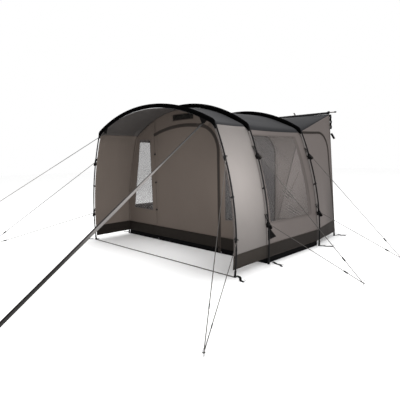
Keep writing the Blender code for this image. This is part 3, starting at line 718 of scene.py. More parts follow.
def cloth(form: Form, name: str, finish: bpy.types.Material | Sequence, slot: str, flat: tuple,
          nodes: Sequence, thickness: float = CLOTH) -> None:
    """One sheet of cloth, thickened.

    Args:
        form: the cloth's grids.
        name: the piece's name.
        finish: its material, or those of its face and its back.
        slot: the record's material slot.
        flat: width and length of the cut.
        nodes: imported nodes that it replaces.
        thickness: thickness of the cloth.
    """
    finishes = [finish] if isinstance(finish, bpy.types.Material) else finish
    piece = form.build(name, finishes, thickness)
    settle(piece, slot, *nodes)
    area = min(form.cut_area(), flat[0] * flat[1])


def capped(grid: Array, middle: Array) -> Array:
    """Grid with a ring at each end that is drawn to a point, where its middle line starts and stops."""
    first, last = (np.broadcast_to(point, (1, *grid.shape[1:])) for point in (middle[0], middle[-1]))
    return np.concatenate([first, grid, last])


def carry(path: Array, outline: Array, hint: Sequence, size: Array | float = 1.0,
          around: bool = False) -> tuple[Array, Array]:
    """Closed outline carried along a path in space, with both ends closed.

    Each point is the path plus outline x times the direction across it, nearest to the hint, plus
    outline y times the direction square to both.

    Args:
        path: points, (n, 3).
        outline: closed outline, (m, 2), without its first point again.
        hint: direction that outline x follows.
        size: scale of the outline at each point.
        around: measure V round the outline, as on a tube, and not from its middle, as on a tape.

    Returns:
        The grid and its UV in metres.
    """
    hint = np.asarray(hint, float)
    along = unit(np.gradient(path, axis=0))
    across = unit(hint - along * (hint * along).sum(-1, keepdims=True))
    third = np.cross(along, across)
    size = np.broadcast_to(size, len(path))[:, None, None]
    loop = np.concatenate([outline, outline[:1]])
    ring = across[:, None] * loop[None, :, :1] + third[:, None] * loop[None, :, 1:]
    run = np.pad(lengths(path), 1, mode="edge")
    reach = lengths(loop) if around else loop[:, 0]
    return capped(path[:, None] + ring * size, path), stacked(run[:, None], reach)


def circle(radius: float | tuple, sides: int) -> Array:
    """Points on a circle, or on an ellipse for a pair of radii."""
    angle = np.linspace(0.0, 2.0 * math.pi, sides, endpoint=False)
    return stacked(np.cos(angle), np.sin(angle)) * radius


def slab(half_width: float, thickness: float) -> Array:
    """Outline of a flat tape, from 0 to its thickness, with its edges taken in."""
    soft = thickness * 0.25
    w, inner, top = half_width, half_width - soft, thickness
    return np.array([(-w, soft), (-inner, 0.0), (inner, 0.0), (w, soft), (w, top - soft), (inner, top),
                     (0.0, top * 1.08), (-inner, top), (-w, top - soft)])


def carry_on(surface: Surface, line: Array, outline: Array, lift: float = 0.0,
             closed: bool = False) -> tuple[Array, Array]:
    """Closed outline carried along a line that lies on a surface.

    Each point is the surface at the line plus outline x to the line's left, raised by outline y.

    Args:
        surface: the surface as a function of two places and a height over it.
        line: places on it, (n, 2).
        outline: closed outline, (m, 2).
        lift: height added everywhere.
        closed: the line is a loop, with its first point again at its end.

    Returns:
        The grid and its UV in metres.
    """
    if closed:
        step = np.roll(line[:-1], -1, axis=0) - np.roll(line[:-1], 1, axis=0)
        step = np.concatenate([step, step[:1]])
    else:
        step = np.gradient(line, axis=0)
    step = unit(step)
    side = stacked(-step[:, 1], step[:, 0])
    loop = np.concatenate([outline, outline[:1]])
    place = line[:, None] + side[:, None] * loop[None, :, :1]
    grid = surface(place[..., 0], place[..., 1], loop[:, 1] + lift)
    middle = grid.mean(1)
    run = lengths(middle)
    if not closed:
        grid, run = capped(grid, middle), np.pad(run, 1, mode="edge")
    return grid, stacked(run[:, None], loop[:, 0])


def ball(centre: Sequence, radii: Sequence, rings: int, sides: int) -> Array:
    """Ellipsoid grid from pole to pole: (sin p cos t, sin p sin t, cos p) times the radii."""
    polar = np.linspace(0.0, math.pi, rings)[:, None]
    turn = np.linspace(0.0, 2.0 * math.pi, sides + 1)
    shape = stacked(np.sin(polar) * np.cos(turn), np.sin(polar) * np.sin(turn), np.cos(polar))
    return np.asarray(centre, float) + shape * radii


def ring_tube(centre: Sequence, normal: Array, radius: float, wire: float) -> tuple[Array, Array]:
    """Wire ring: a circle carried round a circle, with both seams meeting."""
    a = unit(np.cross(normal, X_AXIS))
    b = np.cross(normal, a)
    turn = np.linspace(0.0, 2.0 * math.pi, 25)[:, None]
    path = centre + radius * (np.cos(turn) * a + np.sin(turn) * b)
    loop = np.concatenate([circle(wire, 8), circle(wire, 8)[:1]])
    grid = path[:, None] + unit(path - centre)[:, None] * loop[None, :, :1] + normal * loop[None, :, 1:]
    return grid, stacked(lengths(path)[:, None], loop[:, 0])


def loop_of(sides: Sequence, counts: Sequence) -> Array:
    """Closed loop of sides with set numbers of points, its first point again at its end."""
    loop = np.concatenate([resample(side, count + 1)[:-1] for side, count in zip(sides, counts)])
    return np.concatenate([loop, loop[:1]])


def four_sides(corners: Sequence) -> list:
    """Straight sides of a four-cornered loop."""
    return [[corners[k], corners[(k + 1) % 4]] for k in range(4)]


def rounded(corners: Sequence, radius: float) -> Array:
    """Closed loop whose corners are quadratic curves, its first point again at its end."""
    corners = np.asarray(corners, float)
    before = unit(np.roll(corners, 1, axis=0) - corners) * radius
    after = unit(np.roll(corners, -1, axis=0) - corners) * radius
    t = np.linspace(0.0, 1.0, 6)[None, :, None]
    start, end = (corners + before)[:, None], (corners + after)[:, None]
    bends = start * (1 - t) ** 2 + corners[:, None] * 2 * t * (1 - t) + end * t ** 2
    loop = bends.reshape(-1, 2)
    return np.concatenate([loop, loop[:1]])


@dataclass(frozen=True)
class Ripple:
    """Patch of parallel folds that fades with distance from its middle."""

    centre: tuple
    direction: tuple
    pitch: float
    height: float
    reach: tuple

    def at(self, u: Array, v: Array) -> Array:
        """Height: a cosine across the folds times a Gaussian along and across the patch."""
        d = np.array(self.direction) / math.hypot(*self.direction)
        along = (u - self.centre[0]) * d[0] + (v - self.centre[1]) * d[1]
        across = (v - self.centre[1]) * d[0] - (u - self.centre[0]) * d[1]
        fade = np.exp(-(along / self.reach[0]) ** 2 - (across / self.reach[1]) ** 2)
        return self.height * np.cos(2.0 * math.pi * across / self.pitch) * fade

    def crease(self, u: Array, v: Array) -> Array:
        """How sharply it is creased, from 0 to 1: the top of the wave, made narrower by a power."""
        return np.maximum(self.at(u, v) / self.height, 0.0) ** 1.5


@dataclass
class ArchLine:
    """Centre line of one bent pole: a bowed leg, a round corner and a circular roof arc."""

    node: str
    foot: float
    shoulder: float
    shoulder_height: float
    apex: float
    bow: float
    corner: float = 0.05
    y: float = field(init=False)

    def __post_init__(self) -> None:
        """Works out the line, evenly spaced, and its outward direction.

        Leg: foot + (shoulder - foot) t + 4 bow t (1 - t). Roof: an arc through shoulder and apex. Between
        them: a quadratic curve, in place of everything within the corner's reach of the shoulder.
        """
        self.y = middle_y(self.node)
        t = np.linspace(0.0, 1.0, 240)
        leg = stacked(self.foot + (self.shoulder - self.foot) * t + 4 * self.bow * t * (1 - t),
                      self.shoulder_height * t)
        rise = self.apex - self.shoulder_height
        radius = (self.shoulder ** 2 + rise ** 2) / (2 * rise)
        angle = np.linspace(math.asin(self.shoulder / radius), 0.0, 240)
        roof = stacked(radius * np.sin(angle), self.apex - radius + radius * np.cos(angle))
        peak = leg[-1]
        leg = leg[np.linalg.norm(leg - peak, axis=1) > self.corner]
        roof = roof[np.linalg.norm(roof - peak, axis=1) > self.corner]
        s = np.linspace(0.0, 1.0, 80)[1:-1, None]
        bend = (1 - s) ** 2 * leg[-1] + 2 * s * (1 - s) * peak + s ** 2 * roof[0]
        self.line = resample(np.concatenate([leg, bend, roof]), 900)
        self.run = lengths(self.line)
        along = np.gradient(self.line, axis=0)
        along[-1] = (-1.0, 0.0)
        along = unit(along)
        self.outward = stacked(along[:, 1], -along[:, 0])
        self.eave_run = float(np.interp(EAVE, self.line[:, 1], self.run))

    def run_at(self, h: Array) -> Array:
        """Distance from the foot for a level: a height up to the eave, then the share of the roof."""
        wall = np.interp(h, self.line[:, 1], self.run)
        roof = self.eave_run + (self.run[-1] - self.eave_run) * (h - EAVE) / ROOF_SPAN
        return np.where(h <= EAVE, wall, roof)

    def at(self, run: Array, inset: Array | float = 0.0) -> tuple[Array, Array]:
        """X, Z and outward direction at distances from the foot, moved inwards by inset."""
        run = np.asarray(run, float)
        place = np.stack([np.interp(run, self.run, self.line[:, k]) for k in (0, 1)], -1)
        normal = unit(np.stack([np.interp(run, self.run, self.outward[:, k]) for k in (0, 1)], -1))
        return place - normal * np.broadcast_to(inset, run.shape)[..., None], normal

    def skin(self, h: Array, under: Array | float = 0.0) -> tuple[Array, Array]:
        """X, Z and outward direction of the cloth at a level.

        It lies clear of the leg, rises to the middle of the sleeve at the eave and sinks to its lower part
        on top; where under is 1 it passes beneath the sleeve.
        """
        run = self.run_at(h)
        rise = self.over_leg(run)
        roof = mix(ROOF_INSET, TOP_INSET, ease((h - EAVE) / 0.30))
        inset = mix(mix(LEG_INSET, roof, rise), mix(LEG_INSET, UNDER_SLEEVE, rise), under)
        return self.at(run, inset)

    def over_leg(self, run: Array) -> Array:
        """0 on the leg and 1 on the roof, eased between two heights."""
        low, high = (float(np.interp(z, self.line[:, 1], self.run)) for z in LEG_TO_ROOF)
        return ease((run - low) / (high - low))

    def inside(self, run: Array) -> Array:
        """X and Z of a flat wall's edge: close to the side wall on the leg, under the sleeve higher up."""
        return self.at(run, mix(LEG_INSET + 0.001, UNDER_SLEEVE, self.over_leg(run)))[0]

    def leg(self, side: float, low: float, high: float, count: int) -> Array:
        """Points in space on one leg's centre line between two heights."""
        place, _ = self.at(self.run_at(np.linspace(low, high, count)))
        return stacked(side * place[:, 0], self.y, place[:, 1])

    def holder(self, side: float, height: float) -> tuple[Array, Array]:
        """Centre of one leg at a height, and the direction outwards, in space."""
        (x, z), (out_x, out_z) = self.at(self.run_at(height))
        return np.array([side * x, self.y, z]), np.array([side * out_x, 0.0, out_z])

    def run_of_x(self, x: float) -> float:
        """Distance from the foot at which the roof part passes over x."""
        roof = self.line[:, 1] > self.shoulder_height
        return float(np.interp(x, self.line[roof][::-1, 0], self.run[roof][::-1]))

    def whole(self, start: float, count: int, inset: float = 0.0) -> Array:
        """Points in space from one side to the other over the top, from a start distance."""
        half, _ = self.at(np.linspace(start, self.run[-1], count), inset)
        both = np.concatenate([half, (half * (-1, 1))[-2::-1]])
        return stacked(both[:, 0], self.y, both[:, 1])


@dataclass
class BackEdge:
    """Straight rear edge of the tunnel, with levels that match the rear arch's."""

    arch: ArchLine
    y: float = Y_BACK

    def skin(self, h: Array, under: Array | float = 0.0) -> tuple[Array, Array]:
        """X, Z and outward direction: a leaning upright up to the eave's level, then the level top.

        The top edge has its own sleeve, so under changes nothing here.
        """
        h = np.asarray(h, float)
        share = (np.minimum(h, EAVE) - SKIRT_BOTTOM) / (EAVE - SKIRT_BOTTOM)
        z = SKIRT_BOTTOM + (BACK_TOP - SKIRT_BOTTOM) * share
        x = BACK_FOOT_HALF_WIDTH - 0.0025 + (BACK_TOP_HALF_WIDTH - BACK_FOOT_HALF_WIDTH) * z / BACK_TOP
        eave, _ = self.arch.skin(EAVE)
        roof, _ = self.arch.skin(h)
        x = np.where(h > EAVE, (BACK_TOP_HALF_WIDTH - 0.0025) * roof[..., 0] / eave[0], x)
        turn = ease((h - EAVE + 0.02) / 0.04) * math.pi / 2
        return stacked(x, z + 0.001), stacked(np.cos(turn), np.sin(turn))


@dataclass
class Bay:
    """Cloth between two lines: straight from one to the other, drawn in a little halfway."""

    near: ArchLine
    far: ArchLine | BackEdge
    sag: float
    seam: float

    def share(self, y: Array) -> Array:
        """Share of the way across at y."""
        return (y - self.near.y) / (self.far.y - self.near.y)

    def level(self, k: Array, z: Array) -> Array:
        """Level of a place on a side wall from its height z, a share k of the way across."""
        if isinstance(self.far, ArchLine):
            return z
        rise = (BACK_TOP - SKIRT_BOTTOM) / (EAVE - SKIRT_BOTTOM)
        base = SKIRT_BOTTOM * (1.0 - rise)
        return (z - k * base) / (1.0 - k + k * rise)

    def at(self, k: Array, h: Array, lift: Array | float) -> Array:
        """Point a share k of the way across at level h, raised by lift.

        The sag is 4 k (1 - k) times its depth, and it fades towards the foot of the wall.
        """
        depth_in = self.far.y - self.near.y
        one, n1 = self.near.skin(h, 1.0 - ease(np.abs(k) * depth_in / SLEEVE_REACH))
        two, n2 = self.far.skin(h, 1.0 - ease(np.abs(1.0 - k) * depth_in / SLEEVE_REACH))
        share = k[..., None]
        normal = unit(mix(n1, n2, share))
        depth = self.sag * 4.0 * k * (1.0 - k) * ease((h - SKIRT_BOTTOM) / 0.6)
        y = self.near.y + depth_in * k
        place = mix(one, two, share) + normal * (lift - depth)[..., None]
        return stacked(place[..., 0], y, place[..., 1])

    def levels(self, side: float, upright: bool = False) -> Surface:
        """Side wall as a function of Y, level (or height, if upright) and height over it."""
        def surface(y: Array, h: Array, lift: Array) -> Array:
            """Point of the wall."""
            k = self.share(y)
            return self.at(k, self.level(k, h) if upright else h, lift) * (side, 1.0, 1.0)
        return surface

    def wall(self, side: float) -> Surface:
        """Side wall as a function of Y, Z and height over it."""
        return self.levels(side, upright=True)

    def roof(self) -> Surface:
        """Roof as a function of Y, place from eave to eave (-1 to 1) and height over it."""
        def surface(y: Array, s: Array, lift: Array) -> Array:
            """Point of the roof."""
            half = self.at(self.share(y), mix(EAVE + ROOF_SPAN, self.seam, np.abs(s)), lift)
            return half * stacked(np.where(s < 0, -1.0, 1.0), 1.0, 1.0)
        return surface


ARCHES = {
    "front": ArchLine("pole_front", 1.500, 1.220, 1.773, 2.063, 0.127),
    "mid": ArchLine("pole_mid", 1.500, 1.192, 1.753, 2.121, 0.106),
    "rear": ArchLine("pole_rear", 1.545, 1.211, 1.745, 2.104, 0.104),
}
BACK_EDGE = BackEdge(ARCHES["rear"])
PORCH = Bay(ARCHES["front"], ARCHES["mid"], 0.008, 1.750)
ROOM = Bay(ARCHES["mid"], ARCHES["rear"], 0.016, 1.714)
TUNNEL = Bay(ARCHES["rear"], BACK_EDGE, 0.012, 1.722)


def grid_on(surface: Surface, u: Array, v: Array) -> Array:
    """Points of a surface on the grid of two lists of places."""
    return surface(*np.meshgrid(u, v, indexing="ij"), 0.0)


def laid(surface: Surface, place: Array, lift: Array | float) -> Form:
    """Form of a surface over a grid of places on it, which are its UV too."""
    return Form().add(surface(place[..., 0], place[..., 1], lift), place)


def ring_on(surface: Surface, hole: Array, edge: Array) -> Form:
    """Cloth round an opening: nine loops of straight blends from the hole's loop to the edge's."""
    return laid(surface, mix(hole, edge, np.linspace(0.0, 1.0, 9)[:, None, None]), 0.0)


def columns(x: Array, foot: float, top: Array, count: int) -> Array:
    """Grid of places: columns at x, each from the foot up to its top."""
    return stacked(x[:, None], mix(foot, top[:, None], np.linspace(0.0, 1.0, count)))


@dataclass
class Assembly:
    """Sub-assembly dressed from the shared finishes."""

    looks: Finishes

    def put(self, form: Form, name: str, finishes: Sequence, slot: str, *nodes: str) -> None:
        """Builds a closed shape and settles it."""
        settle(form.build(name, finishes, outwards=True), slot, *nodes)


@dataclass
class Roofs(Assembly):
    """Three roof cloths with felled seams along the eaves."""

    seam_half: float = 0.004
    seam_height: float = 0.0010

    def build(self) -> None:
        """Builds the porch, room and tunnel roofs."""
        s = np.sin(np.linspace(-0.5, 0.5, 97) * math.pi * 0.9) / math.sin(0.45 * math.pi)
        for name, bay, rests in (("porch", PORCH, ("pole_front", "pole_mid")),
                                 ("room", ROOM, ("pole_mid", "pole_rear")),
                                 ("tunnel", TUNNEL, ("pole_rear", "cross_pole"))):
            rear = name == "tunnel"
            last = Y_BACK - 0.016 if rear else bay.far.y
            turn = last - 0.02 if rear else bay.far.y - SLEEVE_REACH
            y = joined(np.linspace(bay.near.y, bay.near.y + SLEEVE_REACH, 9),
                       np.linspace(bay.near.y + SLEEVE_REACH, turn, 22)[1:-1], np.linspace(turn, last, 9))
            grid = grid_on(bay.roof(), y, s)
            depth = (last - bay.near.y) * 1.08 if rear else last - bay.near.y + 0.02
            flat = (round(float(lengths(grid[0])[-1]) * 1.02, 3), round(depth, 3))
            cloth(Form().add(grid), f"roof_{name}_cloth", [self.looks.roof, self.looks.lining],
                  "roof_slate", flat, [f"roof_{name}"])
            self.eaves(name, bay, last)

    def eaves(self, name: str, bay: Bay, last: float) -> None:
        """Builds the felled seams along both eaves."""
        form = Form()
        run = np.linspace(bay.near.y + 0.001, last - 0.001, 40)
        for side in SIDES.values():
            line = stacked(run, bay.seam - self.seam_half * 0.4)
            form.tape(bay.levels(side), line, self.seam_half, self.seam_height)
        self.put(form, f"roof_{name}_eave_seam", [self.looks.roof], "roof_slate")


def places(corners: Sequence, rows: int, columns: int) -> Array:
    """Grid of places in a four-cornered piece: straight blends between its corners, in order round it."""
    a, b, c, d = (np.asarray(corner, float) for corner in corners)
    s, t = np.linspace(0.0, 1.0, rows)[:, None, None], np.linspace(0.0, 1.0, columns)[:, None]
    return mix(mix(a, b, t), mix(d, c, t), s)


def patch_on(surface: Surface, corners: Sequence, rows: int, columns: int, lift: float = 0.0,
             ripples: Sequence = ()) -> Array:
    """Points of a four-cornered piece on a surface, raised by lift and ripples.

    Args:
        surface: the surface that it lies on.
        corners: four places on it, in order round the piece.
        rows: points from its first side to the opposite one.
        columns: points along that side.
        lift: height over the surface.
        ripples: folds added to the height.

    Returns:
        The grid of points.
    """
    u, v = np.moveaxis(places(corners, rows, columns), -1, 0)
    return surface(u, v, sum((ripple.at(u, v) for ripple in ripples), start=lift))


def zipped(form: Form, surface: Surface, line: Array, half_width: float, lift: float = 0.0006) -> Form:
    """Adds a zip's flap and, standing proud in its middle, the coil.

    Args:
        form: form that takes them: mark 0 for the flap and mark 1 for the coil.
        surface: surface that carries them.
        line: places of the zip's middle.
        half_width: half of the flap's width.
        lift: height over the surface.

    Returns:
        The form.
    """
    form.tape(surface, line, half_width, 0.0018, lift)
    bead = np.array([(-0.0035, 0.0), (0.0035, 0.0), (0.0028, 0.0016), (0.0, 0.0024), (-0.0028, 0.0016)])
    return form.add(*carry_on(surface, line, bead, lift + 0.0016), mark=1)


def ellipse_arc(centre: Sequence, radii: Sequence, start: float, end: float, count: int) -> Array:
    """Part of an ellipse, with its angles in degrees."""
    angle = np.radians(np.linspace(start, end, count))
    return stacked(centre[0] + radii[0] * np.cos(angle), centre[1] + radii[1] * np.sin(angle))


def joined(*parts: Sequence) -> Array:
    """Polylines end to end."""
    return np.concatenate([np.asarray(part, float) for part in parts])


@dataclass
class Poles(Assembly):
    """Bent tubes with swaged joints and moulded feet."""

    joints: tuple = (0.31, 1.02, 1.50)
    foot_height: float = 0.080
    foot_radius: float = 0.0135

    def build(self) -> None:
        """Builds the three arches."""
        for name, arch in ARCHES.items():
            path = arch.whole(0.0, 150)
            path[:, 2] = np.maximum(path[:, 2], 0.004)
            form = Form().tube(path, POLE_RADIUS, 14)
            for side in SIDES.values():
                for level in self.joints:
                    collar = arch.leg(side, level, level + 0.022, 6)
                    form.tube(collar, COLLAR_RADIUS, 14)
            self.put(form, f"pole_{name}_tube", [self.looks.pole], "pole_steel", f"pole_{name}")
            self.feet(name, arch)

    def feet(self, name: str, arch: ArchLine) -> None:
        """Builds the moulded boots on one arch's feet.

        The boot is a circle carried up the leg, flared at its base and drawn in at its lip.
        """
        form = Form()
        size = np.interp(np.linspace(0.0, 1.0, 12), (0.0, 0.08, 0.16, 0.8, 0.9, 1.0),
                         (1.25, 1.3, 1.0, 0.92, 1.02, 0.8))
        for side in SIDES.values():
            path = arch.leg(side, 0.0030, self.foot_height, 12)
            form.tube(path, self.foot_radius, 16, size=size)
        self.put(form, f"pole_{name}_boots", [self.looks.plastic], "sleeve_black")


@dataclass
class Sleeves(Assembly):
    """Black fabric sleeves over the roof part of each arch."""

    drop: float = 0.0147
    radii: dict = field(default_factory=lambda: {"front": 0.0272, "mid": 0.0302, "rear": 0.0302})
    pucker: float = 0.018
    pucker_pitch: float = 0.055

    def build(self) -> None:
        """Builds each sleeve with its end bindings."""
        for name, arch in ARCHES.items():
            start = float(arch.run_at(SLEEVE_END))
            path = arch.whole(start, 170, self.drop)
            run = lengths(path)
            size = 1.0 + self.pucker * np.cos(2 * math.pi * run / self.pucker_pitch) * np.sin(run * 5.3) ** 2
            end = np.minimum(run, run[-1] - run)
            size = size * (0.50 + 0.50 * ease(end / 0.10))
            form = Form().tube(path, self.radii[name], 20, size=size)
            self.put(form, f"sleeve_{name}_cloth", [self.looks.sleeve], "sleeve_black", f"sleeve_{name}")
            self.bindings(name, path)

    def bindings(self, name: str, path: Array) -> None:
        """Builds the bound hems at both ends of one sleeve."""
        form = Form()
        for piece in (path[:5], path[-5:]):
            form.tube(piece, self.radii[name] * 0.56, 20)
        self.put(form, f"sleeve_{name}_bindings", [self.looks.tail], "sleeve_black")


@dataclass
class SideWalls(Assembly):
    """Porch, room and tunnel walls of one side, with the room's window and the tunnel's door."""

    side_name: str
    window: tuple = ((Y_MID + 0.095, 0.518), (Y_REAR - 0.148, 0.500), (Y_REAR - 0.165, 1.643),
                     (Y_MID + 0.065, 1.651))
    door_front: float = Y_REAR + 0.045
    door_back: float = Y_REAR + 0.700
    door_top: float = 1.715
    door_bottom: float = 0.278
    door_corner: tuple = (0.24, 0.31)
    welt_half: float = 0.010
    zip_half: float = 0.018
    side: float = field(init=False)

    def __post_init__(self) -> None:
        """Looks up the side's sign."""
        self.side = SIDES[self.side_name]

    def build(self) -> None:
        """Builds this side's walls, window, door, mudwall and trims."""
        self.porch()
        self.room()
        self.pane()
        self.tunnel()
        self.door()
        self.mudwall()
        self.hems()

    def sheet(self, form: Form, part: str, finish: bpy.types.Material | Sequence, slot: str, flat: tuple,
              rests_on: Sequence, held: Held = Held.STRETCHED, thickness: float = CLOTH) -> None:
        """Builds one cloth of this side in place of the part's node."""
        cloth(form, f"{part}_{self.side_name}_cloth", finish, slot, flat,
              [f"{part}_{self.side_name}"], thickness)

    def cut(self, bay: Bay, low: float, high: float) -> tuple[float, float]:
        """Width and height of a wall between two levels, laid flat, with 10 mm for its seams."""
        y = np.linspace(bay.near.y, bay.far.y, 9)
        grid = grid_on(bay.levels(self.side), y, np.linspace(low, high, 41))
        width, height = steps(grid, 0).sum(0).max(), steps(grid, 1).sum(1).max()
        return round(float(width) + 0.01, 3), round(float(height) + 0.01, 3)

    def porch(self) -> None:
        """Builds the porch's plain side wall."""
        y = np.linspace(Y_FRONT, Y_MID, 37)
        grid = grid_on(PORCH.levels(self.side), y, np.linspace(SIDE_SKIRT_TOP, PORCH.seam, 81))
        outward = grid if self.side < 0 else grid[::-1]
        # Its outer face takes the lighter taupe: painted light.
        self.sheet(Form().add(outward), "porch_wall", [self.looks.pale, self.looks.side], "wall_taupe",
                   self.cut(PORCH, SIDE_SKIRT_TOP, PORCH.seam), ["pole_front", "pole_mid"])

    def room(self) -> None:
        """Builds the room's side wall round its window."""
        edge = [(Y_MID, SIDE_SKIRT_TOP), (Y_REAR, SIDE_SKIRT_TOP), (Y_REAR, ROOM.seam), (Y_MID, ROOM.seam)]
        counts = (44, 56, 44, 56)
        loops = [loop_of(four_sides(corners), counts) for corners in (self.window, edge)]
        self.sheet(ring_on(ROOM.levels(self.side), *loops), "room_wall", self.looks.wall, "wall_taupe",
                   self.cut(ROOM, SIDE_SKIRT_TOP, ROOM.seam), ["pole_mid", "pole_rear"])

    def pane(self) -> None:
        """Builds the room's clear window, with stretch folds at two corners, its welt and its rear hem."""
        surface = ROOM.wall(self.side)
        low, high = self.window[0], self.window[2]
        folds = (Ripple((low[0] + 0.36, high[1] - 0.13), (1.0, -0.66), 0.036, 0.0010, (0.30, 0.105)),
                 Ripple((low[0] + 0.17, high[1] - 0.25), (1.0, -0.90), 0.034, 0.0010, (0.30, 0.130)),
                 Ripple((high[0] - 0.46, low[1] + 0.09), (1.0, -0.48), 0.034, 0.0008, (0.20, 0.085)),
                 Ripple((high[0] - 0.52, low[1] + 0.31), (1.0, -0.60), 0.044, 0.0008, (0.17, 0.110)))
        form = Form().add(patch_on(surface, self.window, 150, 140, -0.0012, folds))
        # Painted shade on the creases: full on the right window and a tenth of it on the left.
        place = places(self.window, 150, 140)
        creased = sum(fold.crease(place[..., 0], place[..., 1]) for fold in folds)
        form.folds = np.clip(creased if self.side > 0 else 0.1 * creased, 0.0, 1.0)
        self.sheet(form, "room_window", self.looks.film, "window_film",
                   (round(high[0] - low[0] + 0.06, 3), round(high[1] - low[1] + 0.03, 3)),
                   [f"room_wall_{self.side_name}_cloth"], thickness=FILM)
        loop = resample(rounded(self.window, 0.020), 181)
        form = Form().tape(surface, loop, self.welt_half, WELT, 0.0004, closed=True)
        low, high = np.array(self.window)[1:3]
        hem = [low - (0.075, -0.006), low - (0.010, -0.006), high - (0.010, 0.006), high - (0.062, 0.006)]
        form.add(patch_on(surface, hem, 8, 60, 0.0006))
        self.put(form, f"room_window_welt_{self.side_name}", [self.looks.welt], "wall_taupe")

    def door_line(self) -> Array:
        """Zip's line round the tunnel door, as Y and Z: along its top, round the corner and down."""
        w, h = self.door_corner
        arc = ellipse_arc((self.door_back - w, self.door_top - h), self.door_corner, 90.0, 0.0, 24)
        return joined([(self.door_front, self.door_top)], arc,
                      [(self.door_back + 0.004, 1.134), (self.door_back + 0.036, 0.856),
                       (self.door_back + 0.056, 0.700), (self.door_back + 0.088, self.door_bottom)])

    def tunnel(self) -> None:
        """Builds the tunnel's side wall round its door."""
        line = self.door_line()
        corner = 9
        inner = [[(self.door_front, self.door_bottom), line[-1]], line[:corner - 1:-1], line[corner::-1],
                 [(self.door_front, self.door_top), (self.door_front, self.door_bottom)]]
        outer = four_sides([(Y_REAR, SIDE_SKIRT_TOP), (Y_BACK - 0.001, SIDE_SKIRT_TOP),
                            (Y_BACK - 0.001, TUNNEL.seam), (Y_REAR, TUNNEL.seam)])
        counts = (30, 60, 30, 60)
        hole = loop_of(inner, counts)
        hole[:, 1] = TUNNEL.level(TUNNEL.share(hole[:, 0]), hole[:, 1])
        form = ring_on(TUNNEL.levels(self.side), hole, loop_of(outer, counts))
        self.sheet(form, "tunnel_wall", self.looks.rear, "wall_taupe",
                   self.cut(TUNNEL, SIDE_SKIRT_TOP, TUNNEL.seam), ["pole_rear", f"post_{self.side_name}"])

    def door(self) -> None:
        """Builds the tunnel's zipped side door: columns from its foot up to the zip's line."""
        line = self.door_line()
        y = self.door_front + (line[:, 0].max() - self.door_front) * np.sin(np.linspace(0.0, math.pi / 2, 50))
        upper = line[:int(np.argmax(line[:, 0] > self.door_back - 0.0005)) + 1]
        place = columns(y, self.door_bottom, np.interp(y, upper[:, 0], upper[:, 1]), 60)
        place[..., 0] = np.minimum(place[..., 0], np.interp(place[..., 1], line[::-1, 1], line[::-1, 0]))
        self.sheet(laid(TUNNEL.wall(self.side), place, -0.0004), "tunnel_door", self.looks.rear,
                   "wall_taupe", (0.78, 1.47), [f"tunnel_wall_{self.side_name}_cloth"])
        form = zipped(Form(), TUNNEL.wall(self.side), resample(line, 90), self.zip_half)
        self.put(form, f"tunnel_door_zip_{self.side_name}", [self.looks.flap, self.looks.coil],
                 "sleeve_black")

    def mudwall(self) -> None:
        """Builds the long dark mudwall from the front arch to the rear edge, with a slack lower hem."""
        form = Form()
        z = np.linspace(SKIRT_BOTTOM, SIDE_SKIRT_TOP, 9)
        way = slice(None, None, -1 if self.side > 0 else 1)
        length = 0.0
        for mark, (bay, last) in enumerate(((PORCH, Y_MID), (ROOM, Y_REAR), (TUNNEL, Y_BACK - 0.001))):
            yy, zz = np.meshgrid(np.linspace(bay.near.y, last, 40), z, indexing="ij")
            k = bay.share(yy)
            slack = 0.0035 * np.sin(4 * math.pi * k) * np.sin(math.pi * k) * (SIDE_SKIRT_TOP - zz) / 0.18
            form.add(bay.levels(self.side)(yy, zz, slack)[way], stacked(yy, zz)[way], min(mark, 1))
            length += last - bay.near.y
        # Porch bay in the mudwall brown, room and tunnel bays darker, inner face darkest: painted shade
        # towards the rear and inside.
        finish = [self.looks.mudwall, self.looks.deep, self.looks.shade]
        self.sheet(form, "mudwall", finish, "mudwall_dark", (round(length + 0.06, 3), 0.21),
                   ["pole_front", "pole_mid", "pole_rear"], Held.HUNG)

    def hems(self) -> None:
        """Builds the tapes down each arch, along the rear edge and along the mudwall's seam."""
        form = Form()
        rows = np.linspace(SIDE_SKIRT_TOP, 1.70, 70)
        # The porch's hem is wide: its darker tape is painted shade over the strip between the wall's edge and
        # the pole.
        for bay, y, half in ((PORCH, Y_FRONT + 0.018, 0.0175), (ROOM, Y_MID, 0.0045),
                             (TUNNEL, Y_REAR, 0.0045)):
            line = stacked(y, rows)
            form.tape(bay.levels(self.side), line, half, TAPE, 0.0005)
            # Beside the room's and tunnel's hems lies a strip of the lighter taupe: a painted light strip
            # along the pole.
            if bay is not PORCH:
                painted_light_strip = line + (0.0215, 0.0)
                form.tape(bay.levels(self.side), painted_light_strip, 0.0155, 0.0010, 0.0004, mark=1)
        line = stacked(Y_BACK - 0.010, np.linspace(SKIRT_BOTTOM + 0.002, TUNNEL.seam, 70))
        form.tape(TUNNEL.levels(self.side), line, 0.010, TAPE, 0.0005)
        self.put(form, f"wall_hems_{self.side_name}", [self.looks.hem, self.looks.pale], "wall_taupe")
        form = Form()
        for bay, last in ((PORCH, Y_MID), (ROOM, Y_REAR), (TUNNEL, Y_BACK - 0.002)):
            y = np.linspace(bay.near.y + 0.001, last, 50)
            for level in (SIDE_SKIRT_TOP, SKIRT_BOTTOM + 0.008):
                form.tape(bay.levels(self.side), stacked(y, level), 0.0055, SEAM, 0.0005)
        self.put(form, f"mudwall_seams_{self.side_name}", [self.looks.mudwall], "mudwall_dark")


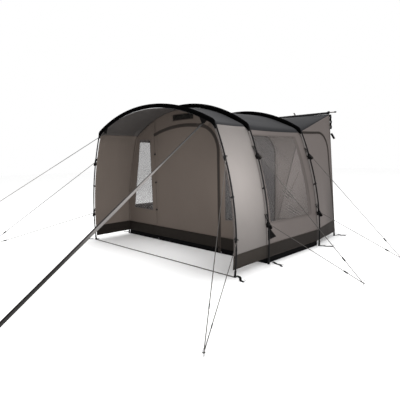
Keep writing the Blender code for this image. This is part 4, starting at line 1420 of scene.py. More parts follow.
@dataclass
class FrontWall(Assembly):
    """Flat wall in the middle arch's plane: door, two windows, vent, and the dark strip at its foot."""

    door_left: float = -0.70
    door_right: float = 0.68
    crown: float = 1.832
    fall: float = 0.225
    bend: tuple = (0.30, 1.43)
    vent: tuple = ((-0.232, 1.918), (0.203, 1.918), (0.203, 2.000), (-0.232, 2.000))
    window: tuple = ((0.795, 0.495), (1.290, 0.505), (1.075, 1.655), (0.813, 1.640))
    welt: tuple = ((0.788, 0.488), (1.299, 0.498), (1.080, 1.662), (0.807, 1.647))
    toggle_loop: tuple = ((0.0, 0.004, 0.022), (0.012, 0.012, 0.010), (0.014, 0.015, -0.004),
                          (0.002, 0.012, -0.014), (-0.004, 0.004, 0.004))
    flap_half: float = 0.025
    strip_top: float = FRONT_SKIRT_TOP
    seam_x: float = 0.62

    def surface(self, x: Array, z: Array, lift: Array) -> Array:
        """Wall as a function of X, Z and height over it towards the porch, with a faint slackness."""
        relief = 0.0016 * np.sin(x * 4.1 + 0.6) * np.sin((z - 0.2) * 3.4) * ease((z - 0.25) / 0.3)
        return stacked(x, Y_MID - lift - relief, z)

    def edge(self, start: float, end: float, side: float, count: int = 60) -> Array:
        """Wall's edge inside the arch between two distances along it."""
        return ARCHES["mid"].inside(np.linspace(start, end, count)) * (side, 1.0)

    def edge_point(self, run: float, side: float) -> Array:
        """Place on the wall's edge at a distance along the arch."""
        return self.edge(run, run, side, 1)[0]

    def top(self, x: Array) -> Array:
        """Height of the door's top: crown - fall x^2, then a quarter of an ellipse."""
        reach = self.door_right - self.bend[0]
        rise = self.crown - self.fall * self.bend[0] ** 2 - self.bend[1]
        share = np.clip((x - self.bend[0]) / reach, 0.0, 1.0)
        return np.where(x < self.bend[0], self.crown - self.fall * x ** 2,
                        self.bend[1] + rise * np.sqrt(1.0 - share ** 2))

    def corner(self, start: float, end: float) -> Array:
        """Part of the door's round corner, with angles in degrees."""
        rise = self.crown - self.fall * self.bend[0] ** 2 - self.bend[1]
        return ellipse_arc(self.bend, (self.door_right - self.bend[0], rise), start, end, 24)

    def build(self) -> None:
        """Builds the wall and everything on it."""
        self.wall()
        self.leaf()
        self.strip()
        self.windows()
        self.vents()
        self.trims()
        self.toggles()

    def wall(self) -> None:
        """Builds three cloths, each a ring round one opening that shares its seams with the next."""
        arch = ARCHES["mid"]
        foot, eave = float(arch.run_at(self.strip_top)), arch.eave_run
        left_run, right_run = arch.run_of_x(-self.door_left), arch.run_of_x(self.seam_x)
        base = self.strip_top
        jamb_top = (self.door_left, float(self.top(self.door_left)))
        left_top, right_top = self.edge_point(left_run, -1.0), self.edge_point(right_run, 1.0)
        left_foot, right_foot = self.edge_point(foot, -1.0), self.edge_point(foot, 1.0)
        knee = self.corner(60.0, 60.0)[0]
        w = np.array(self.window)
        m = w * (-1.0, 1.0)
        hinge = mix(m[3], m[0], 0.12)
        left_hole = [[m[1], m[0]], [m[0], hinge], [hinge, m[3]], [m[3], m[2]], [m[2], m[1]]]
        left_edge = [[left_foot, (self.door_left, base)], [(self.door_left, base), jamb_top],
                     [jamb_top, left_top], self.edge(left_run, eave, -1.0), self.edge(eave, foot, -1.0)]
        vent_hole = four_sides(self.vent)
        x = np.linspace(self.door_left, self.bend[0], 30)
        over = joined(stacked(x, self.top(x)), self.corner(90.0, 60.0)[1:])
        across = joined(self.edge(right_run, arch.run[-1], 1.0), self.edge(arch.run[-1], left_run, -1.0)[1:])
        vent_edge = [over, [knee, right_top], across, [left_top, jamb_top]]
        side = mix(w[3], w[0], 0.12)
        right_hole = [[w[0], w[1]], [w[1], w[2]], [w[2], w[3]], [w[3], side], [side, w[0]]]
        right_edge = [[(self.door_right, base), right_foot], self.edge(foot, eave, 1.0),
                      self.edge(eave, right_run, 1.0), [right_top, knee],
                      joined(self.corner(60.0, 0.0), [(self.door_right, base)])]
        for name, flat, hole, edge, counts in (
                ("left", (0.81, 1.77), left_hole, left_edge, (26, 60, 12, 24, 60)),
                ("top", (1.36, 0.40), vent_hole, vent_edge, (60, 12, 60, 12)),
                ("right", (0.92, 1.80), right_hole, right_edge, (26, 60, 24, 12, 60))):
            form = ring_on(self.surface, loop_of(hole, counts), loop_of(edge, counts))
            # The front wall takes the darker taupe: painted shade under the porch roof.
            cloth(form, f"front_wall_{name}_cloth", self.looks.inner, "wall_taupe", flat,
                  ["front_wall"] if name == "top" else [])

    def leaf(self) -> None:
        """Builds the big zipped door: columns from the strip up to the door's top."""
        share = np.sin(np.linspace(0.0, math.pi / 2, 80))
        x = self.door_left + (self.door_right - self.door_left) * share
        form = laid(self.surface, columns(x, self.strip_top, self.top(x), 60), 0.0012)
        cloth(form, "front_door_cloth", self.looks.inner, "wall_taupe", (1.42, 1.64),
              ["front_door"])

    def strip(self) -> None:
        """Builds the dark strip along the foot of the wall and door, which hangs a little slack."""
        arch = ARCHES["mid"]
        z = np.linspace(SKIRT_BOTTOM, self.strip_top, 9)
        place = arch.inside(arch.run_at(z))
        share = np.linspace(-1.0, 1.0, 161)
        x, z = share[:, None] * place[:, 0], place[:, 1]
        slack = 0.003 * np.sin(share * 31.0)[:, None] * ((self.strip_top - z) / 0.157)
        form = Form().add(stacked(x, Y_MID - 0.0022 - np.abs(slack), z), stacked(x, z))
        # The strip takes the darkest brown: painted shade under the porch roof.
        cloth(form, "mudwall_front_cloth", self.looks.shade, "mudwall_dark", (3.03, 0.18),
              ["mudwall_front_left", "mudwall_front_right"])

    def windows(self) -> None:
        """Builds both clear windows with their welts."""
        for name, side in SIDES.items():
            corners = [(side * x, z) for x, z in self.window]
            folds = (Ripple((side * 0.95, 1.50), (side * 1.0, -0.8), 0.05, 0.0002, (0.20, 0.08)),
                     Ripple((side * 1.10, 0.65), (side * 1.0, -0.3), 0.045, 0.0002, (0.25, 0.08)))
            grid = patch_on(self.surface, corners, 70, 40, -0.001, folds)
            cloth(Form().add(grid), f"front_window_{name}_film", self.looks.tinted, "window_film",
                  (0.53, 1.19), [f"front_window_{name}"], thickness=FILM)
            loop = resample(rounded([(side * x, z) for x, z in self.welt], 0.012), 141)
            form = Form().tape(self.surface, loop, 0.006, WELT, 0.0006, closed=True)
            self.put(form, f"front_window_welt_{name}", [self.looks.welt], "wall_taupe")

    def vents(self) -> None:
        """Builds the long mesh vent under the apex and its bound frame."""
        grid = patch_on(self.surface, self.vent, 12, 50, 0.0006)
        cloth(Form().add(grid), "front_vent_mesh", self.looks.vent, "mesh_black", (0.46, 0.10),
              ["front_vent"], thickness=FILM)
        loop = resample(rounded(self.vent, 0.012), 101)
        form = Form().tape(self.surface, loop, 0.006, 0.002, 0.001, closed=True)
        self.put(form, "front_vent_binding", [self.looks.flap], "mesh_black")

    def trims(self) -> None:
        """Builds the door's zip down to the ground, its hinge seams, the corner tapes and the foot seam."""
        arch = ARCHES["mid"]
        x = np.linspace(self.door_left, self.bend[0], 40)
        line = joined(stacked(x, self.top(x)), self.corner(90.0, 0.0)[1:], [(self.door_right + 0.004, 0.02)])
        form = zipped(Form(), self.surface, resample(line, 220), self.flap_half, 0.0032)
        self.put(form, "front_door_zip", [self.looks.flap, self.looks.coil], "sleeve_black")
        form = Form()
        for x_seam in (self.door_left + 0.002, self.door_left + 0.070):
            z = np.linspace(self.strip_top, float(self.top(x_seam)) - 0.02, 60)
            form.tape(self.surface, stacked(x_seam, z), 0.005, SEAM, 0.0022)
        jamb = (self.door_left, float(self.top(self.door_left)) + 0.012)
        head = self.edge_point(arch.run_of_x(-self.door_left), -1.0) - (0.0, 0.004)
        form.tape(self.surface, np.linspace(jamb, head, 12), 0.009, 0.0012, 0.0004)
        self.put(form, "front_door_seams", [self.looks.inner], "wall_taupe")
        # Tapes in the porch walls' inner colour along both corners: painted light over the shade where this
        # wall meets the side walls.
        form = Form()
        foot = float(arch.run_at(self.strip_top))
        for side in SIDES.values():
            line = self.edge(foot, arch.eave_run, side, 70) - (side * 0.012, 0.0)
            form.tape(self.surface, line, 0.011, TAPE, 0.0006)
        self.put(form, "front_wall_corner_tapes", [self.looks.side], "wall_taupe")
        half = float(self.edge_point(foot, 1.0)[0])
        line = stacked(np.linspace(-half, half, 150), self.strip_top)
        form = Form().tape(self.surface, line, 0.006, TAPE, 0.0028)
        self.put(form, "front_strip_seam", [self.looks.shade], "mudwall_dark")

    def toggles(self) -> None:
        """Builds three toggles with their loops by the door's hinge edge."""
        form = Form()
        for z in (1.415, 0.955, 0.506):
            x = self.door_left + 0.012
            loop = curve_through([(x + a, Y_MID - b, z + c) for a, b, c in self.toggle_loop], 24)
            form.tube(loop, 0.0022, 8, X_AXIS)
            form.add(ball((x + 0.010, Y_MID - 0.016, z), (0.021, 0.0100, 0.0100), 10, 14), mark=1)
        self.put(form, "front_door_toggles", [self.looks.tail, self.looks.plastic], "sleeve_black")


@dataclass
class InnerWall(Assembly):
    """Flat wall in the rear arch's plane with its zipped mesh door."""

    half: float = 0.765
    head: float = 1.70
    foot: float = 0.10
    corner: tuple = (0.28, 0.36)

    def surface(self, x: Array, z: Array, lift: Array) -> Array:
        """Wall as a function of X, Z and height over it towards the room, with a soft lean and slackness."""
        relief = 0.002 * np.sin(x * 3.3) * np.sin(z * 2.9)
        return stacked(x, Y_REAR - lift - relief * ease((z - 0.1) / 0.3), z)

    def build(self) -> None:
        """Builds the wall, its door, zip and leaning seams."""
        arch = ARCHES["rear"]
        foot, eave = float(arch.run_at(SKIRT_BOTTOM)), arch.eave_run
        right = arch.inside(np.linspace(foot, eave, 60))
        over = arch.inside(np.linspace(eave, arch.run[-1], 60))
        across = joined(over, (over * (-1, 1))[-2::-1])
        w, h = self.corner
        bend = ellipse_arc((self.half - w, self.head - h), self.corner, 0.0, 90.0, 21)
        left_bend = bend * (-1, 1)
        hole = [[(-self.half, self.foot), (self.half, self.foot)],
                joined([(self.half, self.foot)], bend[:11]), joined(bend[10:], left_bend[:9:-1]),
                joined(left_bend[10::-1], [(-self.half, self.foot)])]
        edge = [[right[0] * (-1, 1), right[0]], right, across, (right * (-1, 1))[::-1]]
        counts = (50, 60, 70, 60)
        form = ring_on(self.surface, loop_of(hole, counts), loop_of(edge, counts))
        # The inner wall takes the lighter taupe: painted light.
        cloth(form, "inner_wall_cloth", self.looks.lit, "wall_taupe", (3.06, 1.99),
              ["back_wall"])
        self.leaf(bend)
        line = joined([(self.half + 0.002, SKIRT_BOTTOM + 0.01)], bend, left_bend[::-1],
                      [(-self.half - 0.002, SKIRT_BOTTOM + 0.01)])
        form = zipped(Form(), self.surface, resample(line, 200), 0.012)
        self.put(form, "inner_door_zip", [self.looks.shade, self.looks.coil], "sleeve_black")
        form = Form()
        gores = Form()
        for side in SIDES.values():
            top, low = (side * 1.175, 1.64), (side * 0.829, 0.33)
            form.tape(self.surface, np.linspace(top, low, 60), 0.011, 0.0018, 0.0012)
            faint = np.linspace((side * 1.194, 1.102), (side * 0.972, 0.621), 30)
            form.tape(self.surface, faint, 0.006, SEAM, 0.0024, mark=1)
            corners = [top, low, (side * 1.480, 0.33), (side * 1.190, 1.64)]
            gores.add(patch_on(self.surface, corners, 40, 40, 0.0012))
        self.put(form, "inner_wall_seams", [self.looks.hem, self.looks.wall], "wall_taupe")
        # The gores take the lightest taupe: painted light.
        settle(gores.build("inner_wall_gores", [self.looks.gore], 0.0008), "wall_taupe")

    def leaf(self, bend: Array) -> None:
        """Builds the mesh door: columns from its foot up to its round-cornered head."""
        half = np.sin(np.linspace(0.0, math.pi / 2, 40)) * self.half
        x = np.concatenate([-half[::-1], half[1:]])
        top = np.interp(np.abs(x), bend[::-1, 0], bend[::-1, 1])
        place = columns(x, self.foot, top, 50)
        xx, zz = np.moveaxis(place, -1, 0)
        slack = 0.004 * np.sin(xx * 9.0) * np.sin((zz - self.foot) * 2.0) * (1 - (xx / self.half) ** 2)
        cloth(laid(self.surface, place, slack), "inner_door_mesh", self.looks.mesh, "mesh_black",
              (1.54, 1.62), ["back_door"], FILM)


@dataclass
class Groundsheet(Assembly):
    """Tray under the room, with its raised edge inside the walls' feet."""

    floor: float = 0.0025
    edge: float = SKIRT_BOTTOM
    out: float = 0.0015

    def build(self) -> None:
        """Builds the tray: a floor grid with soft ripples, and one upright grid for each side."""
        near, far = (arch.at(arch.run_at(self.edge), LEG_INSET)[0][0] for arch in (ROOM.near, ROOM.far))
        k = np.linspace(0.0, 1.0, 60)[:, None]
        s = np.linspace(-1.0, 1.0, 120)
        x = mix(near, far, k) * s
        y = mix(Y_MID - self.out, Y_REAR + self.out, k) + 0.0 * s
        inside = (1 - s ** 8) * (1 - (2 * k - 1) ** 8)
        z = self.floor + 0.0012 * inside * (np.sin(x * 7 + y * 3) * np.sin(y * 9 - x * 2) + 1)
        form = Form().add(stacked(x, y, z), stacked(x, y))
        rise = np.linspace(0.0, 1.0, 6)
        up = mix(self.floor, self.edge, rise)
        for row, side in ((0, -1.0), (-1, 1.0)):
            across, bulge = x[row][:, None], self.out * side * np.sin(math.pi * rise)
            form.add(stacked(across, y[row][:, None] + bulge, up), stacked(across, up))
        for column in (0, -1):
            along = y[:, column][:, None]
            form.add(stacked(x[:, column][:, None], along, up), stacked(along, up))
        cloth(form, "groundsheet_tray", self.looks.ground, "groundsheet_black", (3.12, 1.44),
              ["groundsheet"])


@dataclass
class BackFrame(Assembly):
    """Straight rear edge: cross pole in its sleeve, two uprights, corner fittings and loose straps."""

    pole_z: float = BACK_TOP + 0.0227
    reach: float = 1.395
    sleeve_radii: tuple = (0.0150, 0.0135)
    post_inset: float = 0.0150

    def build(self) -> None:
        """Builds the rear edge's parts."""
        self.cross()
        self.posts()
        self.fittings()
        self.straps()

    def cross(self) -> None:
        """Builds the cross pole and its puckered sleeve."""
        path = stacked(np.linspace(-self.reach, self.reach, 60), Y_BACK, self.pole_z)
        form = Form().tube(path, POLE_RADIUS, 14)
        self.put(form, "cross_pole_tube", [self.looks.grey_pole], "pole_steel", "cross_pole")
        x = np.linspace(-BACK_TOP_HALF_WIDTH, BACK_TOP_HALF_WIDTH, 200)
        path = stacked(x, Y_BACK, self.pole_z - 0.002)
        size = 1.0 + 0.05 * np.cos(x * 70.0) * np.sin(x * 4.0) ** 2
        form = Form().tube(path, self.sleeve_radii, 18, size=size)
        skirt = np.array([(-0.001, -0.0215), (0.001, -0.0215), (0.0015, -0.010), (-0.0015, -0.010)])
        form.add(*carry(path, skirt, Y_AXIS))
        self.put(form, "sleeve_back_cloth", [self.looks.roof], "sleeve_black", "sleeve_back")

    def posts(self) -> None:
        """Builds the two uprights with their boots and top caps."""
        for name, side in SIDES.items():
            y = Y_BACK - 0.006
            foot = np.array([side * (BACK_FOOT_HALF_WIDTH - self.post_inset), y, 0.001])
            head = np.array([side * (BACK_TOP_HALF_WIDTH - self.post_inset - 0.0050), y, BACK_TOP - 0.002])
            path = np.linspace(foot, head, 40)
            form = Form().tube(path, POLE_RADIUS, 14)
            boot = np.linspace(foot, mix(foot, head, 0.035), 8)
            size = np.interp(np.linspace(0, 1, 8), (0.0, 0.15, 0.3, 1.0), (1.2, 1.25, 1.0, 0.92))
            form.tube(boot, 0.0130, 16, size=size, mark=1)
            for share in (0.34, 0.67):
                collar = np.linspace(mix(foot, head, share), mix(foot, head, share + 0.011), 5)
                form.tube(collar, COLLAR_RADIUS, 14)
            self.put(form, f"post_{name}_tube", [self.looks.pole, self.looks.plastic], "pole_steel",
                     f"post_{name}")

    def fittings(self) -> None:
        """Builds the corner knobs and the caps on the cross pole's ends."""
        form = Form()
        for side in SIDES.values():
            form.add(ball((side * 1.268, Y_BACK, self.pole_z + 0.004), (0.024, 0.021, 0.021), 12, 18))
            form.add(ball((side * 1.288, Y_BACK, self.pole_z - 0.050), (0.017, 0.015, 0.022), 10, 16))
            cap = np.linspace((side * (self.reach - 0.030), Y_BACK, self.pole_z),
                              (side * (self.reach + 0.003), Y_BACK, self.pole_z), 8)
            size = np.interp(np.linspace(0, 1, 8), (0.0, 0.1, 0.8, 1.0), (0.9, 1.0, 1.0, 0.7))
            form.tube(cap, 0.0122, 16, size=size)
        self.put(form, "rear_corner_fittings", [self.looks.plastic], "sleeve_black")

    def straps(self) -> None:
        """Builds the slack corner straps, their loose tabs and the small tab on the top edge."""
        form = Form()
        out = Y_BACK + 0.004
        strap = ((1.296, out, 2.010), (1.303, out + 0.002, 1.965), (1.300, out + 0.003, 1.930),
                 (1.310, out + 0.004, 1.890), (1.303, out + 0.003, 1.850), (1.313, out + 0.002, 1.815),
                 (1.309, out + 0.001, 1.775))
        tab = ((1.316, out, 1.700), (1.331, out + 0.002, 1.678), (1.352, out + 0.004, 1.640),
               (1.369, out + 0.005, 1.612))
        peak = ((0.660, Y_BACK, 2.040), (0.655, Y_BACK - 0.004, 2.066), (0.640, Y_BACK - 0.008, 2.098))
        for side in SIDES.values():
            for knots, count, outline, hint, mark in (
                    (strap, 60, slab(0.0140, 0.0060), (1.0, 0.8, 0.0), 0),
                    (tab, 20, slab(0.0200, 0.0120), (0.4, 1.0, 0.3), 0),
                    (peak, 14, slab(0.020, 0.0100), Y_AXIS, 1)):
                path = curve_through(np.array(knots) * (side, 1.0, 1.0), count)
                form.add(*carry(path, outline, hint), mark=mark)
        self.put(form, "rear_corner_straps", [self.looks.tail, self.looks.strap], "sleeve_black")


def peg_points(foot: Array, out: Array) -> Array:
    """Smooth line of a hooked peg: up, over and a little down on its outer side."""
    rise = ((0.0, 0.0), (0.020, 0.0), (0.038, 0.0), (0.050, 0.007), (0.0495, 0.020), (0.0375, 0.028))
    return curve_through([foot + Z_AXIS * up + out * over for up, over in rise], 36)


@dataclass
class Guys(Assembly):
    """Two guys from each leg to one peg, with brackets, runners and pegs."""

    heights: dict = field(default_factory=lambda: {
        ("front", "right"): (1.360, 0.440), ("front", "left"): (1.295, 0.450),
        ("mid", "right"): (1.370, 0.510), ("mid", "left"): (1.370, 0.510),
        ("rear", "right"): (1.345, 0.505), ("rear", "left"): (1.345, 0.505)})
    pegs: dict = field(default_factory=lambda: {"front": (2.37, Y_FRONT - 1.43), "mid": (2.67, Y_MID + 0.01),
                                                "rear": (2.69, Y_REAR - 0.03)})
    radius: float = 0.0038
    peg_radius: float = 0.0035
    bracket_out: float = 0.019
    bracket_height: float = 0.088
    ring_height: float = 0.020
    runner_share: float = 0.84

    def build(self) -> None:
        """Builds all six pairs."""
        for label, arch in ARCHES.items():
            for name, side in SIDES.items():
                self.pair(label, name, arch, side)

    def pair(self, label: str, name: str, arch: ArchLine, side: float) -> None:
        """Builds one leg's two guys, their brackets, runners and peg."""
        x, y = self.pegs[label]
        foot = np.array([side * x, y, 0.0])
        eye = foot + self.ring_height * Z_AXIS
        reach = self.peg_radius + self.radius + 0.0005
        lines = Form().add(*ring_tube(eye, Z_AXIS, reach, self.radius))
        brackets = Form()
        for height in self.heights[(label, name)]:
            pole, out = arch.holder(side, height)
            start = pole + out * self.bracket_out
            level = unit((start - eye) * (1.0, 1.0, 0.0))
            path = np.linspace(start, eye + level * reach, 80)
            lines.tube(path, self.radius, 10, Z_AXIS)
            self.runner(lines, path)
            share = 0.7 if label == "front" and side > 0 else 1.0
            self.bracket(brackets, arch, side, height, out, share)
            brackets.add(*ring_tube(start + out * 0.003, Y_AXIS, 0.0085, 0.0022), mark=1)
        self.put(lines, f"guy_{label}_{name}_lines", [self.looks.cord, self.looks.plastic], "guy_cord",
                 f"guy_{label}_{name}")
        self.put(brackets, f"guy_{label}_{name}_brackets", [self.looks.tail, self.looks.plastic],
                 "sleeve_black")
        away = unit(foot - (side * 1.5, arch.y, 0.0))
        form = Form().tube(peg_points(foot, away), self.peg_radius, 12, PEG_HINT)
        self.put(form, f"peg_{label}_{name}_rod", [self.looks.bright], "peg_steel", f"peg_{label}_{name}")

    def runner(self, form: Form, path: Array) -> None:
        """Adds a moulded runner: a rounded flat outline, waisted in its middle, carried along the line."""
        middle = mix(path[0], path[-1], self.runner_share)
        along = unit(path[-1] - path[0])
        body = middle + along * np.linspace(-0.026, 0.026, 13)[:, None]
        size = 0.80 + 0.20 * np.cos(np.linspace(-1.0, 1.0, 13) * math.pi * 1.6) ** 2
        size[[0, -1]] *= 0.75
        form.tube(body, (0.0105, 0.0055), 16, Z_AXIS, size, mark=1)

    def bracket(self, form: Form, arch: ArchLine, side: float, height: float, out: Array,
                share: float) -> None:
        """Adds the webbing bracket: a drop-shaped outline carried up the pole and drawn in at its ends.

        A flat flap, widest at the guy, stands out from a full-sized one, and two tapes come down to it from
        the hem above. The front right leg's brackets are smaller.
        """
        half = [(0.0190, 0.0), (0.0160, 0.0085), (0.0080, 0.0135), (-0.0050, 0.0145), (-0.0140, 0.0115),
                (-0.0240, 0.0070), (-0.0345, 0.0050)]
        outline = np.array(half + [(a, -b) for a, b in half[:0:-1]])
        path = arch.leg(side, height - self.bracket_height / 2, height + self.bracket_height / 2, 17)
        size = share * np.interp(np.linspace(0.0, 1.0, 17), (0.0, 0.10, 0.30, 1.0), (0.55, 0.90, 0.88, 0.42))
        form.add(*carry(path, outline, out, size=size))
        strap = arch.leg(side, height - 0.012, height + 0.012, 5)
        form.add(*carry(strap, outline * (share * 1.02), out), mark=1)
        if share < 1.0:
            return
        edge = arch.leg(side, height - 0.060, height + 0.046, 25)
        taper = np.interp(np.linspace(0.0, 1.0, 25), (0.0, 0.14, 0.20, 1.0), (0.70, 1.0, 1.0, 0.06))
        flap = np.array([(0.0, -0.0030), (0.054, -0.0020), (0.054, 0.0020), (0.0, 0.0030)])
        form.add(*carry(edge, flap, out, size=taper))
        low, high = arch.leg(side, height + 0.02, height + 0.13, 2)
        for reach in (-0.010, 0.010):
            top, end = high - out * 0.034 + reach * 1.8 * Y_AXIS, low + out * 0.004 + reach * Y_AXIS
            tape = np.linspace(top, end, 14)
            form.add(*carry(tape, slab(0.008, 0.0018), Y_AXIS))


@dataclass
class StormStraps(Assembly):
    """Flat webbing from gussets under the front sleeve to pegs; the right one has a quarter turn in it."""

    peg: tuple = (1.483, Y_FRONT - 2.831)
    top: tuple = (1.045, 1.755)
    gusset_half: float = 0.065
    half_width: float = 0.018
    thickness: float = 0.003
    ring_height: float = 0.020
    bar_radius: float = 0.0035

    def build(self) -> None:
        """Builds both straps with their gussets, buckles and pegs."""
        for name, side in SIDES.items():
            start = np.array([side * self.top[0], Y_FRONT, self.top[1]])
            foot = np.array([side * self.peg[0], self.peg[1], 0.0])
            eye = foot + self.ring_height * Z_AXIS
            level = unit((start - eye) * (1.0, 1.0, 0.0))
            end = eye + level * 0.008
            along = unit(end - start)
            across = unit(np.cross(along, Z_AXIS))
            upright = unit(Z_AXIS - along * along[2])
            share = ease(np.linspace(-0.45, 1.55, 120)[:, None]) * (1.0 if name == "right" else 0.0)
            path = np.linspace(start, end, 120)
            outline = slab(self.half_width, self.thickness) - (0.0, self.thickness / 2)
            form = Form().add(*carry(path, outline, unit(mix(across, upright, share))))
            form.add(*ring_tube(eye, Z_AXIS, 0.008, 0.0036), mark=1)
            self.buckle(form, path, upright if name == "right" else across)
            self.gusset(form, side)
            self.put(form, f"storm_strap_{name}_webbing",
                     [self.looks.storm, self.looks.plastic, self.looks.tail], "webbing_grey",
                     f"storm_strap_{name}")
            away = unit(foot - start * (1, 1, 0))
            rod = Form().tube(peg_points(foot, away), self.bar_radius, 12, PEG_HINT)
            self.put(rod, f"storm_peg_{name}_rod", [self.looks.bright], "peg_steel", f"storm_peg_{name}")

    def buckle(self, form: Form, path: Array, across: Array) -> None:
        """Adds a ladder buckle: three bars across the strap, and a doubled end."""
        for share in (0.905, 0.910, 0.915):
            middle = mix(path[0], path[-1], share)
            bar = middle + across * np.linspace(-0.021, 0.021, 7)[:, None]
            form.tube(bar, self.bar_radius, 10, Z_AXIS, mark=1)
        for edge in (-0.020, 0.020):
            start, end = mix(path[0], path[-1], 0.904), mix(path[0], path[-1], 0.916)
            form.tube(np.linspace(start, end, 5) + across * edge, self.bar_radius, 10, Z_AXIS, mark=1)

    def gusset(self, form: Form, side: float) -> None:
        """Adds the stitched triangle between the sleeve's underside and the strap."""
        arch = ARCHES["front"]
        x = np.linspace(self.top[0] - self.gusset_half, self.top[0] + self.gusset_half, 14)
        edge, _ = arch.at(np.linspace(arch.eave_run, arch.run[-1], 300), 0.036)
        upper = stacked(x, np.interp(x, edge[::-1, 0], edge[::-1, 1]))
        lower = stacked(np.linspace(self.top[0] - 0.017, self.top[0] + 0.017, 14), self.top[1] - 0.010)
        sheet = mix(upper[:, None], lower[:, None], np.linspace(0.0, 1.0, 8)[:, None])
        faces = [stacked(side * sheet[..., 0], Y_FRONT + half, sheet[..., 1]) for half in (-0.0018, 0.0018)]
        rim = [np.stack([face[part] for face in faces]) for part in (0, -1, np.s_[:, 0], np.s_[:, -1])]
        for grid in faces + rim:
            form.add(grid, mark=2)


@dataclass
class Footings(Assembly):
    """Ground strap, pegging straps at the feet, small wall pegs, and the clips that hold cloth to legs."""

    clip_heights: dict = field(default_factory=lambda: {"front": 0.913, "mid": 0.963, "rear": 0.932})
    hook: tuple = ((-0.035, 0.0, 0.0), (-0.022, 0.0, -0.004), (-0.012, 0.010, 0.0), (0.0, 0.0135, 0.002),
                   (0.0125, 0.0, 0.003), (0.0, -0.0135, 0.004), (-0.012, -0.010, 0.006))
    patch: tuple = ((0.030, 0.300), (0.215, 0.318), (0.085, 0.440), (0.030, 0.420))
    strap_half: float = 0.0125

    def build(self) -> None:
        """Builds the parts near the ground and the clips."""
        self.ground_strap()
        self.tails()
        self.clips()
        self.patches()
        self.wall_pegs()

    def ground_strap(self) -> None:
        """Builds the strap that ties the front feet, lying on the ground."""
        half = ARCHES["front"].line[0, 0] - POLE_RADIUS - 0.001
        x = np.linspace(-half, half, 160)
        wave = 0.0010 * (1.0 + np.sin(x * 9.0) * np.sin(x * 2.3))
        path = stacked(x, Y_FRONT + 0.002 * np.sin(x * 3.1), wave * 0.4)
        form = Form().add(*carry(path, slab(self.strap_half, 0.0026), Y_AXIS))
        self.put(form, "ground_strap_webbing", [self.looks.strap], "webbing_grey", "ground_strap")

    def tails(self) -> None:
        """Builds the wavy straps that lie on the ground by each foot, with their pegs."""
        form = Form()
        for foot_y, knots in (
                (Y_FRONT, ((1.486, 0.052), (1.560, 0.020), (1.620, -0.050), (1.677, -0.063))),
                (Y_MID, ((1.492, 0.115), (1.560, 0.070), (1.630, 0.055), (1.687, 0.012))),
                (Y_REAR, ((1.560, 0.005), (1.610, 0.020), (1.670, 0.040), (1.728, 0.072))),
                (Y_BACK, ((1.430, 0.020), (1.470, 0.105), (1.510, 0.085), (1.560, 0.130)))):
            for side in SIDES.values():
                flat = curve_through([(side * x, foot_y + y, 0.001) for x, y in knots], 50)
                flat[:, 2] += 0.005 * np.sin(np.linspace(0, 2 * math.pi, 50)) ** 2
                grid, uv = carry(flat, slab(0.014, 0.0040), (0.2, 1.0, 0.0))
                grid[..., 2] = np.maximum(grid[..., 2], 0.0002)
                form.add(grid, uv)
                foot = flat[-1] * (1, 1, 0)
                form.tube(peg_points(foot, side * X_AXIS) * (1, 1, 0.55), 0.003, 10, PEG_HINT, mark=1)
        self.put(form, "pegging_straps", [self.looks.tail, self.looks.bright], "webbing_grey")

    def clips(self) -> None:
        """Builds the small hooks between the hem and each leg."""
        form = Form()
        for name, arch in ARCHES.items():
            for side in SIDES.values():
                pole, out = arch.holder(side, self.clip_heights[name])
                knots = [pole + out * a + Y_AXIS * b + Z_AXIS * c for a, b, c in self.hook]
                form.tube(curve_through(knots, 40), (0.0032, 0.0085), 10)
        self.put(form, "leg_clips", [self.looks.plastic], "sleeve_black")

    def patches(self) -> None:
        """Builds the black reinforcing patches sewn on the walls at the lower brackets."""
        form = Form()
        for side in SIDES.values():
            corners = [(Y_MID + y, z) for y, z in self.patch]
            form.add(patch_on(ROOM.wall(side), corners, 12, 12, 0.0018))
        settle(form.build("corner_patches", [self.looks.tail], 0.0012), "sleeve_black")

    def wall_pegs(self) -> None:
        """Builds the small pegs and their loops along the front wall's foot."""
        form = Form()
        for x in (-1.443, -0.633, 0.733):
            foot = np.array([x, Y_MID - 0.020, 0.0])
            form.tube(peg_points(foot, -Y_AXIS) * (1, 1, 0.7), 0.003, 10, X_AXIS, mark=1)
            tab = curve_through([(x, Y_MID - 0.003, 0.060), (x, Y_MID - 0.008, 0.030),
                                 (x, Y_MID - 0.022, 0.012)], 12)
            form.add(*carry(tab, slab(0.010, TAPE), X_AXIS))
        self.put(form, "front_wall_pegs", [self.looks.tail, self.looks.bright], "sleeve_black")


def placed(x_axis: Array, y_axis: Array, z_axis: Array, place: Sequence) -> Matrix:
    """Matrix of an object from its axes and its place."""
    axes = np.eye(4)
    axes[:3] = np.stack([x_axis, y_axis, z_axis, place], 1)
    return Matrix(axes.tolist())


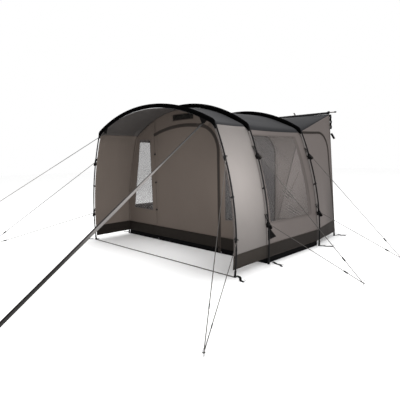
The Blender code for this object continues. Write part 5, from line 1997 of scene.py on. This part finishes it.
@dataclass
class Studio:
    """Camera at the photograph's view, floor and soft lights."""

    place: tuple = (4.0463, -4.4865, 1.3732)
    turn: float = 0.7710
    pitch: float = -0.1187
    roll: float = -0.0187
    lens: float = 33.15

    def build(self) -> None:
        """Builds everything that isn't the awning."""
        self.camera()
        self.floor()
        self.lights()

    def camera(self) -> None:
        """Camera from its turn to the left of +Y, its pitch and its roll."""
        right = np.array([math.cos(self.turn), math.sin(self.turn), 0.0])
        ahead = np.array([-math.sin(self.turn), math.cos(self.turn), 0.0])
        look = ahead * math.cos(self.pitch) + Z_AXIS * math.sin(self.pitch)
        above = -ahead * math.sin(self.pitch) + Z_AXIS * math.cos(self.pitch)
        x_axis = right * math.cos(self.roll) + above * math.sin(self.roll)
        y_axis = -right * math.sin(self.roll) + above * math.cos(self.roll)
        data = bpy.data.cameras.new("camera")
        data.lens = self.lens
        data.sensor_width = 36.0
        data.clip_end = 200.0
        camera = bpy.data.objects.new("camera", data)
        bpy.context.scene.collection.objects.link(camera)
        camera.matrix_world = placed(x_axis, y_axis, -look, self.place)
        bpy.context.scene.camera = camera

    def floor(self) -> None:
        """Wide floor just under the ground level."""
        reach = np.linspace(-30.0, 30.0, 3)
        grid = stacked(reach[:, None], reach, -0.0015)
        white = Floor("floor_white", (0.985, 0.985, 0.985)).material()
        Form().add(grid).build("studio_floor", [white])

    def lights(self) -> None:
        """White surroundings, and large soft lights placed by distance and direction."""
        scene = bpy.context.scene
        scene.view_settings.view_transform = "Standard"
        world = bpy.data.worlds.new("surroundings")
        world.use_nodes = True
        world.node_tree.nodes["Background"].inputs[0].default_value = (1.0, 1.0, 1.0, 1.0)
        world.node_tree.nodes["Background"].inputs[1].default_value = 1.0
        scene.world = world
        for name, place, target, size, power in (
                ("key", (3.6, -1.9, 1.5), (1.4, -1.10, 1.10), 0.6, 6.5),
                ("room", (0.90, -0.48, 1.20), (1.10, 0.64, 0.85), 0.5, 11.0),
                ("glow", (1.18, -1.10, 1.05), (0.95, -0.64, 1.00), 0.3, 2.4),
                ("porch", (0.0, -1.02, 1.85), (0.0, -1.10, 0.0), 1.0, 2.2),
                ("top", (0.0, 0.0, 9.0), (0.0, 0.0, 0.0), 3.0, 600.0)):
            data = bpy.data.lights.new(name, "AREA")
            data.size = size
            data.energy = power
            if name in ("key", "porch"):
                data.spread = math.radians(42.0 if name == "key" else 100.0)
            lamp = bpy.data.objects.new(name, data)
            lamp.visible_camera = False
            scene.collection.objects.link(lamp)
            back = -unit(np.subtract(target, place))
            side = unit(np.cross(Z_AXIS, back)) if abs(back[2]) < 0.99 else X_AXIS
            lamp.matrix_world = placed(side, np.cross(back, side), back, place)


def main() -> None:
    """Builds the sub-assemblies in order."""
    logging.basicConfig(level=logging.INFO, format="%(message)s")
    finishes = Finishes()
    Studio().build()
    parts = [Poles(finishes), Sleeves(finishes), Roofs(finishes)]
    parts += [SideWalls(finishes, name) for name in SIDES]
    parts += [kind(finishes) for kind in (FrontWall, InnerWall, Groundsheet, BackFrame, Guys, StormStraps,
                                          Footings)]
    for part in parts:
        log.info("building %s", type(part).__name__)
        part.build()


if __name__ == "__main__":
    main()
